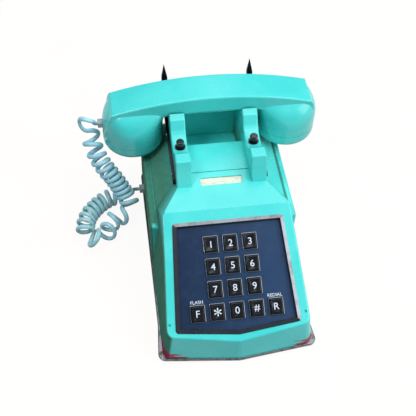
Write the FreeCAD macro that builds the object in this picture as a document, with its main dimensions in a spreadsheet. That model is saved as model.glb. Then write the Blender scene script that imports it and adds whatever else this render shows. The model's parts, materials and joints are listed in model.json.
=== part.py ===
import FreeCAD, Part
import math
import os
import re
from FreeCAD import Vector

# A push-button desk telephone: +Z up, the keypad facing -Y, the rear at +Y, millimetres.
# The origin is on the table, under the middle of the telephone's box.

doc = FreeCAD.newDocument("desk_telephone")
sheet = doc.addObject("Spreadsheet::Sheet", "Sizes")

SIZES = {
    # base and housing
    "body_length": 232.0,
    "fin_overhang": 14.0,
    "body_width": 136.0,
    "prow_depth": 8.0,
    "side_draft": 6.7,
    "front_draft": 9.0,
    "corner_radius": 7.0,
    "edge_radius": 2.0,
    "wall": 2.6,
    "plate_flare": 4.5,
    "plate_margin": 1.5,
    "plate_thickness": 3.0,
    "foot_height": 2.0,
    "foot_radius": 7.0,
    "foot_recess": 1.0,
    "foot_from_side": 12.0,
    "foot_from_front": 40.0,
    "foot_from_rear": 30.0,
    "plate_flare_length": 36.0,
    "cut_reach": 20.0,
    "cut_margin": 1.0,
    # keypad
    "keypad_slope": 31.2,
    "five_from_front": 63.7,
    "five_height": 61.3,
    "column_pitch": 17.5,
    "row_pitch": 19.9,
    "bezel_top_half": 50.0,
    "bezel_bottom_half": 56.0,
    "bezel_above_five": 41.2,
    "bezel_below_five": 54.8,
    "bezel_point": 6.2,
    "bezel_corner_radius": 3.0,
    "bezel_point_radius": 12.0,
    "bezel_frame": 4.2,
    "bezel_seat": 2.4,
    "bezel_height": 1.8,
    "bezel_edge": 0.4,
    "bezel_ridge": 3.2,
    "bezel_crest": 0.4,
    "faceplate_recess": 2.0,
    "faceplate_thickness": 2.0,
    "key_width": 11.4,
    "key_length": 13.4,
    "key_rise": 3.4,
    "key_flange": 1.0,
    "key_flange_height": 2.0,
    "key_travel": 2.0,
    "key_clearance": 0.3,
    "key_frame_width": 0.9,
    "key_frame_round": 0.6,
    "key_frame_height": 1.6,
    "key_edge_radius": 1.2,
    "mat_thickness": 1.4,
    "mat_margin": 1.0,
    "board_thickness": 1.6,
    # deck, forks and rear rests
    "crease_from_front": 106.4,
    "deck_height": 90.6,
    "deck_from_front": 132.6,
    "crease_half": 56.5,
    "deck_end_from_front": 185.0,
    "shoulder_inner_height": 76.0,
    "shoulder_outer_height": 61.0,
    "fender_height": 64.0,
    "fender_from_front": 111.0,
    "shoulder_from_front": 135.0,
    "fender_width": 4.4,
    "fender_root": 4.0,
    "fork_sink": 6.0,
    "fork_inner": 27.2,
    "fork_width": 14.3,
    "block_front_foot": 133.0,
    "block_front": 142.6,
    "block_rear": 153.7,
    "block_height": 114.2,
    "seat_middle": 170.2,
    "seat_height": 104.4,
    "prong_foot": 186.8,
    "prong_foot_height": 110.0,
    "prong_front": 191.9,
    "prong_front_height": 117.3,
    "prong_rear": 199.2,
    "prong_height": 121.4,
    "rest_height": 114.0,
    "fork_edge_radius": 1.4,
    "well_floor": 60.0,
    "well_rear_wall": 5.0,
    "deck_seam_from_front": 149.4,
    "deck_seam_width": 0.9,
    "deck_seam_depth": 0.7,
    "notch_half": 60.6,
    "notch_below_five": 47.0,
    "notch_radius": 1.2,
    "notch_depth": 1.2,
    # card window
    "card_from_front": 133.5,
    "card_length": 9.2,
    "card_width": 38.4,
    "card_depth": 1.6,
    "card_thickness": 0.5,
    "window_thickness": 0.9,
    "window_gap": 0.1,
    # hook switch
    "plunger_radius": 3.6,
    "plunger_rise": 8.6,
    "plunger_head": 4.0,
    "plunger_neck": 2.4,
    "plunger_neck_radius": 2.9,
    "plunger_foot_height": 80.0,
    "plunger_edge_radius": 1.0,
    "plunger_clearance": 0.3,
    "bush_wall": 1.0,
    "bush_rise": 1.4,
    "bush_depth": 3.0,
    "lever_bar": 5.0,
    "lever_sheet": 2.4,
    "lever_arm_half": 18.0,
    "lever_arm": 23.2,
    "hook_pin_radius": 1.5,
    "hub_radius": 3.4,
    "pin_clearance": 0.08,
    "bracket_sheet": 1.6,
    "bracket_half": 24.0,
    "spring_wire": 0.9,
    "spring_length": 14.0,
    "switch_length": 12.0,
    "switch_width": 7.0,
    "switch_height": 8.0,
    # fins
    "fin_thickness": 2.6,
    "fin_band": 6.0,
    "fin_from_front": 141.0,
    "fin_front_height": 84.0,
    "fin_rear_height": 96.0,
    "fin_blade_width": 5.6,
    "fin_tip_length": 12.5,
    "fin_blade_foot": 6.0,
    "fin_blade_root": 10.0,
    "fin_blade_rise": 34.0,
    "fin_gap": 0.3,
    # fasteners
    "screw_radius": 1.5,
    "screw_head_radius": 3.0,
    "screw_head_height": 1.6,
    "screw_length": 7.0,
    "boss_radius": 4.2,
    "boss_height": 14.0,
    "boss_from_side": 14.0,
    "boss_from_front": 24.0,
    "boss_from_rear": 12.0,
    # boards and ringer
    "main_board_width": 92.0,
    "main_board_length": 62.0,
    "main_board_from_front": 34.0,
    "standoff_height": 7.0,
    "standoff_inset": 6.0,
    "coil_size": 22.0,
    "coil_height": 17.0,
    "capacitor_radius": 4.0,
    "capacitor_height": 11.0,
    "ringer_from_front": 192.0,
    "ringer_width": 96.0,
    "ringer_length": 30.0,
    "ringer_sheet": 2.0,
    "ringer_tongue": 16.0,
    "ringer_coil_gap": 14.0,
    "gong_large_radius": 21.0,
    "gong_small_radius": 19.0,
    "gong_height": 13.0,
    "gong_wall": 1.4,
    "gong_gap": 13.0,
    "gong_post_radius": 3.0,
    "gong_lift": 14.0,
    "gong_screw_radius": 1.2,
    "gong_screw_length": 8.0,
    "gong_screw_grip": 10.0,
    "clapper_ball": 3.0,
    "clapper_arm": 30.0,
    "clapper_rod": 1.0,
    "clapper_hub_half": 2.0,
    "ringer_coil_radius": 8.0,
    "ringer_coil_length": 20.0,
    "wheel_radius": 12.0,
    "wheel_thickness": 4.0,
    "wheel_from_front": 160.0,
    "wheel_height": 14.0,
    "wheel_show": 3.0,
    "wheel_pin_radius": 2.0,
    "wheel_clearance": 0.4,
    # jacks and plugs
    "jack_width": 12.0,
    "jack_height": 11.0,
    "jack_depth": 13.0,
    "jack_from_front": 197.5,
    "jack_centre_height": 18.0,
    "line_jack_x": 30.0,
    "socket_width": 7.0,
    "socket_height": 6.0,
    "socket_depth": 9.0,
    "plug_clearance": 0.2,
    "plug_show": 5.0,
    # handset
    "handset_half_spacing": 75.2,
    "cup_radius": 29.2,
    "cup_bore": 24.8,
    "cup_bore_depth": 17.0,
    "cap_height": 14.0,
    "cap_edge_radius": 7.5,
    "cap_floor": 2.4,
    "cap_gap": 0.3,
    "cap_spigot": 4.0,
    "cap_spigot_wall": 2.0,
    "handset_low": 72.5,
    "handle_width": 33.0,
    "handle_gap": 1.0,
    "handle_top": 134.9,
    "handle_bottom": 116.4,
    "handle_end_drop": 13.5,
    "handle_end_lean": 10.0,
    "handle_end_inset": 6.0,
    "handle_end_height": 15.0,
    "handle_corner_radius": 9.0,
    "handle_under_drop": 3.9,
    "handle_under_half": 54.0,
    "handle_edge_radius": 1.8,
    "handle_under_radius": 3.0,
    "cup_side": 9.0,
    "cup_shoulder": 24.0,
    "cup_top_inset": 0.6,
    "cup_end_lean": 9.0,
    "cup_flare": 6.0,
    "cup_roundness": 0.85,
    "cup_squareness": 1.4,
    "capsule_radius": 20.5,
    "capsule_height": 11.0,
    "sound_hole_radius": 1.3,
    "sound_hole_ring": 8.0,
    "socket_lift": 2.0,
    # curly cord
    "cord_diameter": 4.2,
    "curl_radius": 7.9,
    "curl_spacing": 5.1,
    "curl_reach": 9.6,
    "curl_stretch": 1.6,
    "curl_stretch_reach": 45.0,
    "cord_lead": 2.0,
    "cord_start": 8.0,
    "cord_tail": 16.0,
    "cord_ramp": 16.0,
    "cord_floor_gap": 0.9,
}

for row, (alias, value) in enumerate(SIZES.items(), start=1):
    sheet.set("A%d" % row, alias)
    sheet.set("B%d" % row, str(value))
    sheet.setAlias("B%d" % row, alias)
doc.recompute()


def size(alias):
    """The value of a driving dimension."""
    return float(sheet.get(alias))


# Places worked out from the driving dimensions
FRONT = -(size("body_length") + size("fin_overhang")) / 2
REAR = FRONT + size("body_length")
PLATE_TOP = size("foot_height") + size("plate_thickness")
SLOPE = math.radians(size("keypad_slope"))
FIVE_Y = FRONT + size("five_from_front")
FIVE_Z = size("five_height")
NORMAL = Vector(0, -math.sin(SLOPE), math.cos(SLOPE))
BIG = 4 * size("body_length")
DECK_HALF = size("fork_inner") + size("fork_width")
FORK_X = size("fork_inner") + size("fork_width") / 2


def from_front(alias):
    """A Y place measured back from the front point of the housing."""
    return FRONT + size(alias)


def keypad_height(y, offset=0.0):
    """Height of the sloping keypad face at a Y place, moved along its normal by an offset."""
    face = size("faceplate_recess") + offset
    origin = Vector(0, FIVE_Y, FIVE_Z) + NORMAL * face
    return origin.z + (y - origin.y) * math.tan(SLOPE)


def polygon(points):
    """A closed wire through points."""
    return Part.makePolygon([Vector(p) for p in points] + [Vector(points[0])])


def prism(points, along):
    """A solid: the flat face inside points, extruded along a vector."""
    return Part.Face(polygon(points)).extrude(Vector(along))


def rounded_wire(points, radii):
    """A closed wire through points with each corner rounded by its own radius."""
    count = len(points)
    starts, ends, arcs = [], [], []
    for i, corner in enumerate(points):
        corner = Vector(corner)
        before = (Vector(points[i - 1]) - corner).normalize()
        after = (Vector(points[(i + 1) % count]) - corner).normalize()
        half = before.getAngle(after) / 2
        reach = radii[i] / math.tan(half)
        centre = corner + (before + after).normalize() * (radii[i] / math.sin(half))
        start = corner + before * reach
        end = corner + after * reach
        middle = centre + (corner - centre).normalize() * radii[i]
        starts.append(start)
        ends.append(end)
        arcs.append(Part.Arc(start, middle, end).toShape())
    edges = []
    for i in range(count):
        edges.append(arcs[i])
        edges.append(Part.LineSegment(ends[i], starts[(i + 1) % count]).toShape())
    return Part.Wire(edges)


def mirrored(shape):
    """The same shape on the other side of the YZ plane."""
    return shape.mirror(Vector(0, 0, 0), Vector(1, 0, 0))


def cyl(radius, height, at, along=(0, 0, 1)):
    """A plain cylinder from a point along a direction; a size may be a driving dimension's name."""
    radius, height = [size(v) if isinstance(v, str) else v for v in (radius, height)]
    return Part.makeCylinder(radius, height, Vector(at), Vector(along))


def upper_edges(shape, z):
    """The edges of a shape that lie at or above a height."""
    return [e for e in shape.Edges if e.BoundBox.ZMin > z - 0.01]


def half_space(point, normal):
    """A large block that lies on the side of a plane its normal points to."""
    block = Part.makeBox(2 * BIG, 2 * BIG, 2 * BIG, Vector(-BIG, -BIG, 0))
    turn = FreeCAD.Rotation(Vector(0, 0, 1), Vector(normal))
    block.Placement = FreeCAD.Placement(Vector(point), turn)
    return block


def body_outline(half, front, rear, z, prow, radius):
    """The housing's plan: a rectangle whose front comes to a shallow point."""
    shoulder = front + prow
    points = [(0, front, z), (half, shoulder, z), (half, rear, z), (-half, rear, z), (-half, shoulder, z)]
    return rounded_wire(points, [2 * radius, radius, radius, radius, radius])


def housing_block(inset):
    """The housing's outside form, or its hollow when inset is the wall."""
    low = PLATE_TOP - (BIG / 100 if inset else 0)
    top = size("deck_height") + size("cut_reach")
    side = math.tan(math.radians(size("side_draft")))
    lean = math.tan(math.radians(size("front_draft")))
    margin = size("plate_margin")
    sections = []
    for z in (low, top):
        rise = z - PLATE_TOP
        half = size("body_width") / 2 - inset - side * rise
        front = FRONT + margin + inset + lean * rise
        radius = size("corner_radius") - inset / 2
        sections.append(body_outline(half, front, REAR - inset, z, size("prow_depth"), radius))
    block = Part.makeLoft(sections, True, True)
    crease = from_front("crease_from_front")
    deck = from_front("deck_from_front")
    low_y = FRONT - size("cut_reach")
    profile = [
        (-BIG, low_y, low - size("cut_margin")),
        (-BIG, low_y, keypad_height(low_y, -inset)),
        (-BIG, crease, keypad_height(crease, -inset)),
        (-BIG, deck, size("deck_height") - inset),
        (-BIG, REAR + size("cut_reach"), size("deck_height") - inset),
        (-BIG, REAR + size("cut_reach"), low - size("cut_margin")),
    ]
    block = block.common(prism(profile, (2 * BIG, 0, 0)))
    cutter = shoulder_cutter(inset)
    return block.cut([cutter, mirrored(cutter)])


def shoulder_cutter(inset):
    """What is cut away beside the deck: above the sloping shoulder and outside the deck's slanting edge."""
    inner = DECK_HALF - inset
    outer = size("body_width") / 2
    high = size("shoulder_inner_height") - inset
    fall = (size("shoulder_inner_height") - size("shoulder_outer_height")) / (outer - DECK_HALF)
    reach = 2 * outer
    section = [
        (inner, -BIG, high),
        (reach, -BIG, high - fall * (reach - inner)),
        (reach, -BIG, BIG),
        (inner, -BIG, BIG),
    ]
    above = prism(section, (0, 2 * BIG, 0))
    crease_y = from_front("crease_from_front")
    crease = Vector(size("crease_half"), crease_y, keypad_height(crease_y))
    deck = Vector(DECK_HALF, from_front("deck_from_front"), size("deck_height"))
    foot_x = outer - size("fender_width")
    foot = Vector(foot_x, from_front("shoulder_from_front"), size("shoulder_outer_height"))
    normal = (deck - crease).cross(foot - crease).normalize()
    if normal.x < 0:
        normal = normal * -1
    return above.common(half_space(crease - normal * inset, normal))


def fork():
    """One cradle fork: front block, round handset seat, prong and rear rest."""
    low = size("shoulder_inner_height") - size("fork_sink")
    inner = size("fork_inner")
    front_foot = from_front("block_front_foot")
    prong_rear = from_front("prong_rear")
    line = [
        (front_foot, low),
        (front_foot, size("deck_height")),
        (from_front("block_front"), size("block_height")),
        (from_front("block_rear"), size("block_height")),
    ]
    tail = [
        (from_front("prong_foot"), size("prong_foot_height")),
        (from_front("prong_front"), size("prong_front_height")),
        (prong_rear, size("prong_height")),
        (prong_rear, size("rest_height")),
        (REAR, size("rest_height")),
        (REAR, low),
        (front_foot, low),
    ]
    edges = []
    for start, end in zip(line, line[1:]):
        edges.append(Part.LineSegment(Vector(inner, *start), Vector(inner, *end)).toShape())
    seat = Vector(inner, from_front("seat_middle"), size("seat_height"))
    edges.append(Part.Arc(Vector(inner, *line[-1]), seat, Vector(inner, *tail[0])).toShape())
    for start, end in zip(tail, tail[1:]):
        edges.append(Part.LineSegment(Vector(inner, *start), Vector(inner, *end)).toShape())
    solid = Part.Face(Part.Wire(edges)).extrude(Vector(size("fork_width"), 0, 0))
    boxes = [(e, e.BoundBox) for e in solid.Edges]
    soft = [e for e, box in boxes if box.ZMax > size("deck_height") + 1 and box.YMin < REAR - 1]
    return solid.makeFillet(size("fork_edge_radius"), soft)


def well(grow=0.0):
    """The carrying well behind the deck, between the forks and under the handset."""
    half = size("fork_inner") + grow
    front = from_front("deck_end_from_front") - grow
    length = REAR - size("well_rear_wall") + grow - front
    return Part.makeBox(2 * half, length, BIG, Vector(-half, front, size("well_floor") - grow))


NODES = []
SIDES = (("left", -1), ("right", 1))


def named(expression):
    """An expression with every driving dimension pointed at the sheet."""
    return re.sub(r"[a-z]\w*", lambda m: "Sizes." * (m.group(0) in SIZES) + m.group(0), expression)


def bind(obj, **expressions):
    """Bind an object's properties to expressions of the driving dimensions."""
    for prop, expression in expressions.items():
        obj.setExpression(prop, named(expression))
    return obj


def block(name, length, width, height, x, y, z):
    """A box centred on (x, y) that stands on z; the three sizes are expressions."""
    obj = bind(doc.addObject("Part::Box", name), Length=length, Width=width, Height=height)
    obj.setExpression("Placement.Base.x", named("%.6f - (%s) / 2" % (x, length)))
    obj.setExpression("Placement.Base.y", named("%.6f - (%s) / 2" % (y, width)))
    obj.Placement.Base.z = z
    return obj


def rod(name, radius, height, start, direction=(0, 0, 1)):
    """A cylinder from a start point along a direction; its two sizes are expressions."""
    obj = bind(doc.addObject("Part::Cylinder", name), Radius=radius, Height=height)
    obj.Placement = FreeCAD.Placement(Vector(start), FreeCAD.Rotation(Vector(0, 0, 1), Vector(direction)))
    return obj


def joined(name, *pieces):
    """A fuse of several objects."""
    obj = doc.addObject("Part::MultiFuse", name)
    obj.Shapes = list(pieces)
    return obj


def cut(name, base, tool):
    """A base with a tool taken away."""
    obj = doc.addObject("Part::Cut", name)
    obj.Base = base
    obj.Tool = tool
    return obj


def group(name, *pieces):
    """Several separate solids that share one node."""
    obj = doc.addObject("Part::Compound", name)
    obj.Links = list(pieces)
    return obj


def rounded(name, base, radius, chosen):
    """A base with the edges that chosen() picks rounded."""
    doc.recompute()
    obj = doc.addObject("Part::Fillet", name)
    obj.Base = base
    soft = size(radius)
    obj.Edges = [(i, soft, soft) for i, e in enumerate(base.Shape.Edges, start=1) if chosen(e)]
    return obj


def feature(name, shape, placement=None):
    """A document object that holds a shape made above."""
    obj = doc.addObject("Part::Feature", name)
    obj.Shape = shape
    if placement:
        obj.Placement = placement
    return obj


def node(label, obj):
    """Name an object as a sub-part of the telephone."""
    obj.Label = label
    NODES.append(obj)
    return obj


def tube(outer, inner, height, at):
    """A plain ring standing on a point."""
    return cyl(outer, height, at).cut(cyl(inner, height, at))


def screw(at, direction):
    """A pan-head screw: the head sits on the point and the shank runs against the direction."""
    head = cyl("screw_head_radius", "screw_head_height", at, direction)
    return head.fuse(cyl("screw_radius", "screw_length", at, Vector(direction) * -1))


# Keypad places, in the keypad's own frame: X right, Y up the slope, Z out of the faceplate
KEYPAD = FreeCAD.Placement(Vector(0, FIVE_Y, FIVE_Z), FreeCAD.Rotation(Vector(1, 0, 0), size("keypad_slope")))
KEYS = {
    "key_1": (-1, 1), "key_2": (0, 1), "key_3": (1, 1),
    "key_4": (-1, 0), "key_5": (0, 0), "key_6": (1, 0),
    "key_7": (-1, -1), "key_8": (0, -1), "key_9": (1, -1),
    "key_flash": (-2, -2), "key_star": (-1, -2), "key_0": (0, -2), "key_hash": (1, -2), "key_redial": (2, -2),
}
FLANGE_TOP = -size("faceplate_thickness") - size("key_clearance")
FLANGE_LOW = FLANGE_TOP - size("key_flange_height")
MAT_TOP = FLANGE_LOW - size("key_travel") - size("key_clearance")
MAT_LOW = MAT_TOP - size("mat_thickness")
BOARD_LOW = MAT_LOW - size("board_thickness")
MAT_HALF = 2 * size("column_pitch") + size("key_width") / 2 + size("key_flange") + size("mat_margin")
POST_RADIUS = size("boss_radius") * 0.6
POST_X = MAT_HALF + POST_RADIUS + size("mat_margin")
POST_TOP_V = size("row_pitch") + size("key_length") / 2
POST_LOW_V = -2 * size("row_pitch") - size("key_length") / 2


def key_place(column, row):
    """A key's centre in the keypad's frame."""
    return Vector(column * size("column_pitch"), row * size("row_pitch"), 0)


def bezel_wire(inset, z):
    """The bezel's five-sided outline, drawn in by an inset, at a height in the keypad's frame."""
    top, low = size("bezel_top_half"), size("bezel_bottom_half")
    above, below = size("bezel_above_five"), -size("bezel_below_five")
    tip = below - size("bezel_point")
    points = [(-top, above, z), (-low, below, z), (0, tip, z), (low, below, z), (top, above, z)]
    corner, point = size("bezel_corner_radius"), size("bezel_point_radius")
    wire = rounded_wire(points, [corner, corner, point, corner, corner])
    return wire.makeOffset2D(-inset) if inset else wire


def bezel_slab(inset, low, high):
    """The bezel's outline as a solid between two heights."""
    return Part.Face(bezel_wire(inset, low)).extrude(Vector(0, 0, high - low))


def key_hole(column, row, low, high, grow):
    """A key's rectangle, grown all round, between two heights."""
    wide = size("key_width") + 2 * grow
    long = size("key_length") + 2 * grow
    corner = key_place(column, row) + Vector(-wide / 2, -long / 2, low)
    return Part.makeBox(wide, long, high - low, corner)


def keypad_posts():
    """The places of the four screw posts under the faceplate."""
    return [Vector(sx * POST_X, v, 0) for sx in (-1, 1) for v in (POST_TOP_V, POST_LOW_V)]


# Housing
BUSH_RADIUS = size("plunger_radius") + size("plunger_clearance") + size("bush_wall")
SEAT_Y = from_front("seat_middle")
SEAT_Z = size("seat_height")
BOSS_X = size("body_width") / 2 - size("boss_from_side")
BOSS_Y = (from_front("boss_from_front"), REAR - size("boss_from_rear"))
BOSSES = [(sx * BOSS_X, y) for sx in (-1, 1) for y in BOSS_Y]
JACK_Y = from_front("jack_from_front")
CARD_Y = from_front("card_from_front") + size("card_length") / 2


def fender():
    """The upright side panel that stands out along the rear half."""
    half = size("body_width") / 2
    inside = DECK_HALF + size("fender_root")
    section = [
        (inside, 0, PLATE_TOP),
        (half, 0, PLATE_TOP),
        (half, 0, size("fender_height")),
        (half - size("fender_width"), 0, size("fender_height")),
        (inside, 0, size("shoulder_outer_height") - size("fender_root")),
    ]
    start = from_front("fender_from_front")
    moved = [(x, start, z) for x, y, z in section]
    solid = prism(moved, (0, REAR - start, 0))
    outside = [e for e in solid.Edges if e.BoundBox.XMin > half - size("fender_width") - 0.1
               and e.BoundBox.ZMax > PLATE_TOP + 1 and e.BoundBox.YMin < REAR - 1]
    return solid.makeFillet(size("edge_radius"), outside)


def plunger_shaft(x):
    """What is cut out of a fork for a plunger: a room below, the bush's seat and the shaft."""
    wide, long = size("fork_width") - 2 * size("wall"), 3 * BUSH_RADIUS
    low = size("shoulder_inner_height") - size("wall")
    high = SEAT_Z - size("bush_depth") - size("wall")
    room = Part.makeBox(wide, long, high - low, Vector(x - wide / 2, SEAT_Y - long / 2, low))
    seat = cyl(BUSH_RADIUS, SEAT_Z, (x, SEAT_Y, SEAT_Z - size("bush_depth")))
    shaft = cyl(size("plunger_radius") + size("plunger_clearance"), SEAT_Z, (x, SEAT_Y, low))
    return [room, seat, shaft]


def on_keypad_face(point):
    """Whether a point lies on the housing's sloping face."""
    return abs(point.z - keypad_height(point.y)) < 0.01


def housing_shape():
    """The moulded housing: outside form, forks and fenders, hollowed, with its openings."""
    outside = housing_block(0.0)
    rim = [e for e in outside.Edges if all(on_keypad_face(v.Point) for v in e.Vertexes)
           and e.BoundBox.YMin < from_front("crease_from_front") - 1]
    outside = outside.makeFillet(size("edge_radius"), rim)
    prong = fork()
    panel = fender()
    solid = outside.fuse([prong, mirrored(prong), panel, mirrored(panel)])
    hollow = housing_block(size("wall")).cut(well(size("wall")))
    solid = solid.cut([hollow, well()])
    for sx in (-1, 1):
        solid = solid.cut(plunger_shaft(sx * FORK_X))
    solid = solid.fuse([cyl("boss_radius", "boss_height", (x, y, PLATE_TOP)) for x, y in BOSSES])
    tools = [cyl("screw_radius", size("boss_height") - size("wall"), (x, y, PLATE_TOP)) for x, y in BOSSES]
    window = bezel_slab(size("bezel_seat"), -size("cut_reach"), size("cut_reach"))
    window.Placement = KEYPAD
    tools.append(window)
    tools.append(card_recess())
    gap = size("plug_clearance")
    tools.append(jack_block(gap))
    tools.append(line_jack_block(gap))
    tools.append(wheel_slot())
    tools.append(deck_seam())
    tools.extend(margin_notches())
    for y, z in FIN_SCREWS:
        for sx in (-1, 1):
            tools.append(cyl("screw_radius", "screw_length", (sx * DECK_HALF, y, z), (-sx, 0, 0)))
    return solid.cut(tools).removeSplitter()


def card_recess():
    """The shallow recess of the number card in the deck."""
    wide, long, depth = size("card_width"), size("card_length"), size("card_depth")
    corner = Vector(-wide / 2, CARD_Y - long / 2, size("deck_height") - depth)
    return Part.makeBox(wide, long, depth, corner)


def jack_block(grow):
    """The handset jack's case, set in the left side."""
    wide, high = size("jack_width") + 2 * grow, size("jack_height") + 2 * grow
    corner = Vector(-size("body_width") / 2, JACK_Y - wide / 2, size("jack_centre_height") - high / 2)
    return Part.makeBox(size("jack_depth") + grow, wide, high, corner)


def line_jack_block(grow):
    """The line jack's case, set in the rear wall."""
    wide, high = size("jack_width") + 2 * grow, size("jack_height") + 2 * grow
    depth = size("jack_depth") + grow
    corner = Vector(size("line_jack_x") - wide / 2, REAR - depth, size("jack_centre_height") - high / 2)
    return Part.makeBox(wide, depth, high, corner)


WHEEL_X = size("body_width") / 2 + size("wheel_show") - size("wheel_radius")
WHEEL_Y = from_front("wheel_from_front")


def wheel_slot():
    """The slot in the right side that the volume wheel shows through."""
    gap = size("wheel_clearance")
    centre = Vector(WHEEL_X, WHEEL_Y, size("wheel_height") - gap)
    return cyl(size("wheel_radius") + gap, size("wheel_thickness") + 2 * gap, centre)


def deck_seam():
    """The fine seam across the deck between the forks."""
    long, deep = size("deck_seam_width"), size("deck_seam_depth")
    corner = Vector(-size("fork_inner"), from_front("deck_seam_from_front"), size("deck_height") - deep)
    return Part.makeBox(2 * size("fork_inner"), long, deep, corner)


def margin_notches():
    """The two small blind notches beside the bezel's lower corners."""
    notches = []
    for sx in (-1, 1):
        low = size("faceplate_recess") - size("notch_depth")
        spot = (sx * size("notch_half"), -size("notch_below_five"), low)
        notch = cyl("notch_radius", 2 * size("notch_depth"), spot)
        notch.Placement = KEYPAD.multiply(notch.Placement)
        notches.append(notch)
    return notches


FIN_SCREWS = []
for share in (0.12, 0.62):
    fin_y = from_front("fin_from_front") + share * (REAR - from_front("fin_from_front"))
    fin_z = size("fin_front_height") + share * (size("fin_rear_height") - size("fin_front_height"))
    FIN_SCREWS.append((fin_y, fin_z + size("fin_band") / 2))

node("housing", feature("housing", housing_shape()))


# Base plate with its feet and screws
def plate_wire(z):
    """The base plate's outline: the housing's plan, wider at the two front corners."""
    half = size("body_width") / 2 + size("plate_margin")
    front = FRONT + size("prow_depth")
    flare = half + size("plate_flare") - size("plate_margin")
    straight = front + size("plate_flare_length")
    points = [
        (0, FRONT, z), (flare, front, z), (half, straight, z), (half, REAR, z),
        (-half, REAR, z), (-half, straight, z), (-flare, front, z),
    ]
    big, small = 6 * size("corner_radius"), size("corner_radius")
    return rounded_wire(points, [2 * small, small, big, small, small, big, small])


FOOT_X = size("body_width") / 2 - size("foot_from_side")
FOOT_Y = (from_front("foot_from_front"), REAR - size("foot_from_rear"))
FEET = [(sx * FOOT_X, y) for sx in (-1, 1) for y in FOOT_Y]
BOARD_Y = from_front("main_board_from_front") + size("main_board_length") / 2
BOARD_Z = PLATE_TOP + size("standoff_height")
STANDOFF_X = size("main_board_width") / 2 - size("standoff_inset")
STANDOFF_Y = size("main_board_length") / 2 - size("standoff_inset")
STANDOFFS = [(sx * STANDOFF_X, BOARD_Y + sy * STANDOFF_Y) for sx in (-1, 1) for sy in (-1, 1)]


def base_plate_shape():
    """The steel base plate: rimmed outline, foot recesses, screw holes and board standoffs."""
    low = size("foot_height")
    plate = Part.Face(plate_wire(low)).extrude(Vector(0, 0, size("plate_thickness")))
    rim = [e for e in plate.Edges if abs(e.BoundBox.ZMin - e.BoundBox.ZMax) < 0.01]
    plate = plate.makeFillet(size("plate_thickness") * 0.3, rim)
    plate = plate.fuse([cyl("boss_radius", "standoff_height", (x, y, PLATE_TOP)) for x, y in STANDOFFS])
    tools = []
    for x, y in FEET:
        tools.append(cyl("foot_radius", "foot_recess", (x, y, low)))
    for x, y in BOSSES:
        gap = size("plug_clearance")
        tools.append(cyl(size("screw_radius") + gap, 2 * PLATE_TOP, (x, y, 0)))
        tools.append(cyl(size("screw_head_radius") + gap, "screw_head_height", (x, y, low)))
    return plate.cut(tools)


node("base_plate", feature("base_plate", base_plate_shape()))
feet = []
for i, (x, y) in enumerate(FEET):
    feet.append(rod("foot_%d" % i, "foot_radius - plug_clearance", "foot_height + foot_recess", (x, y, 0)))
node("rubber_feet", group("rubber_feet_group", *feet))
screws = [screw((x, y, size("foot_height") + size("screw_head_height")), (0, 0, -1)) for x, y in BOSSES]
node("base_screws", feature("base_screws", Part.makeCompound(screws)))


# Keypad
def bezel_shape():
    """The chrome bezel: a frame that slopes up to a ridge, and a skirt down to the faceplate."""
    face, top = size("faceplate_recess"), size("faceplate_recess") + size("bezel_height")
    edge, ridge = face + size("bezel_edge"), size("bezel_ridge")
    slope = Part.makeLoft([bezel_wire(0, edge), bezel_wire(ridge, top)], True, True)
    frame = bezel_slab(0, face, edge).fuse(slope)
    skirt = bezel_slab(size("bezel_seat") + size("key_clearance"), 0, face)
    opening = bezel_slab(size("bezel_frame"), -size("cut_margin"), top)
    crest = ridge + size("bezel_crest")
    bevel = Part.makeLoft([bezel_wire(size("bezel_frame"), edge), bezel_wire(crest, top)], True, True)
    return frame.fuse(skirt).cut([opening, bevel]).removeSplitter()


def faceplate_shape():
    """The flat faceplate with a hole for each key and four screw posts behind."""
    plate = bezel_slab(size("bezel_seat") + size("key_clearance"), -size("faceplate_thickness"), 0)
    tall = -size("faceplate_thickness") - MAT_LOW
    posts = [cyl(POST_RADIUS, tall, spot + Vector(0, 0, MAT_LOW)) for spot in keypad_posts()]
    plate = plate.fuse(posts)
    reach, gap = size("cut_reach"), size("key_clearance")
    holes = [key_hole(column, row, -reach, reach, gap) for column, row in KEYS.values()]
    for spot in keypad_posts():
        holes.append(cyl("screw_radius", tall, spot + Vector(0, 0, MAT_LOW)))
    return plate.cut(holes)


def key_frames_shape():
    """The thin silver frame round each key."""
    frames = []
    for column, row in KEYS.values():
        high = size("key_frame_height")
        gap = size("key_clearance")
        outer = key_hole(column, row, 0, high, gap + size("key_frame_width"))
        upright = [e for e in outer.Edges if e.BoundBox.ZLength > high / 2]
        outer = outer.makeFillet(size("key_edge_radius"), upright)
        outer = outer.makeFillet(size("key_frame_round"), upper_edges(outer, high))
        frames.append(outer.cut(key_hole(column, row, -size("cut_margin"), high + size("cut_margin"), gap)))
    return Part.makeCompound(frames)


node("keypad_bezel", feature("keypad_bezel", bezel_shape(), KEYPAD))
node("faceplate", feature("faceplate", faceplate_shape(), KEYPAD))
node("key_frames", feature("key_frames", key_frames_shape(), KEYPAD))


def key(label, column, row):
    """One key: a cap that passes the faceplate and a flange that keeps it in."""
    cap = bind(doc.addObject("Part::Box", label + "_cap"), Length="key_width", Width="key_length",
               Height="key_rise + faceplate_thickness + key_clearance + key_flange_height")
    cap.Placement.Base = Vector(-size("key_width") / 2, -size("key_length") / 2, FLANGE_LOW)
    flange = bind(doc.addObject("Part::Box", label + "_flange"), Length="key_width + 2 * key_flange",
                  Width="key_length + 2 * key_flange", Height="key_flange_height")
    flange.Placement.Base = Vector(-size("key_width") / 2 - size("key_flange"),
                                   -size("key_length") / 2 - size("key_flange"), FLANGE_LOW)
    top = size("key_rise")
    soft = rounded(label + "_soft", cap, "key_edge_radius", lambda e: e.BoundBox.ZMax > top - 0.01)
    whole = joined(label, soft, flange)
    whole.Placement = FreeCAD.Placement(KEYPAD.multVec(key_place(column, row)), KEYPAD.Rotation)
    return node(label, whole)


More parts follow.
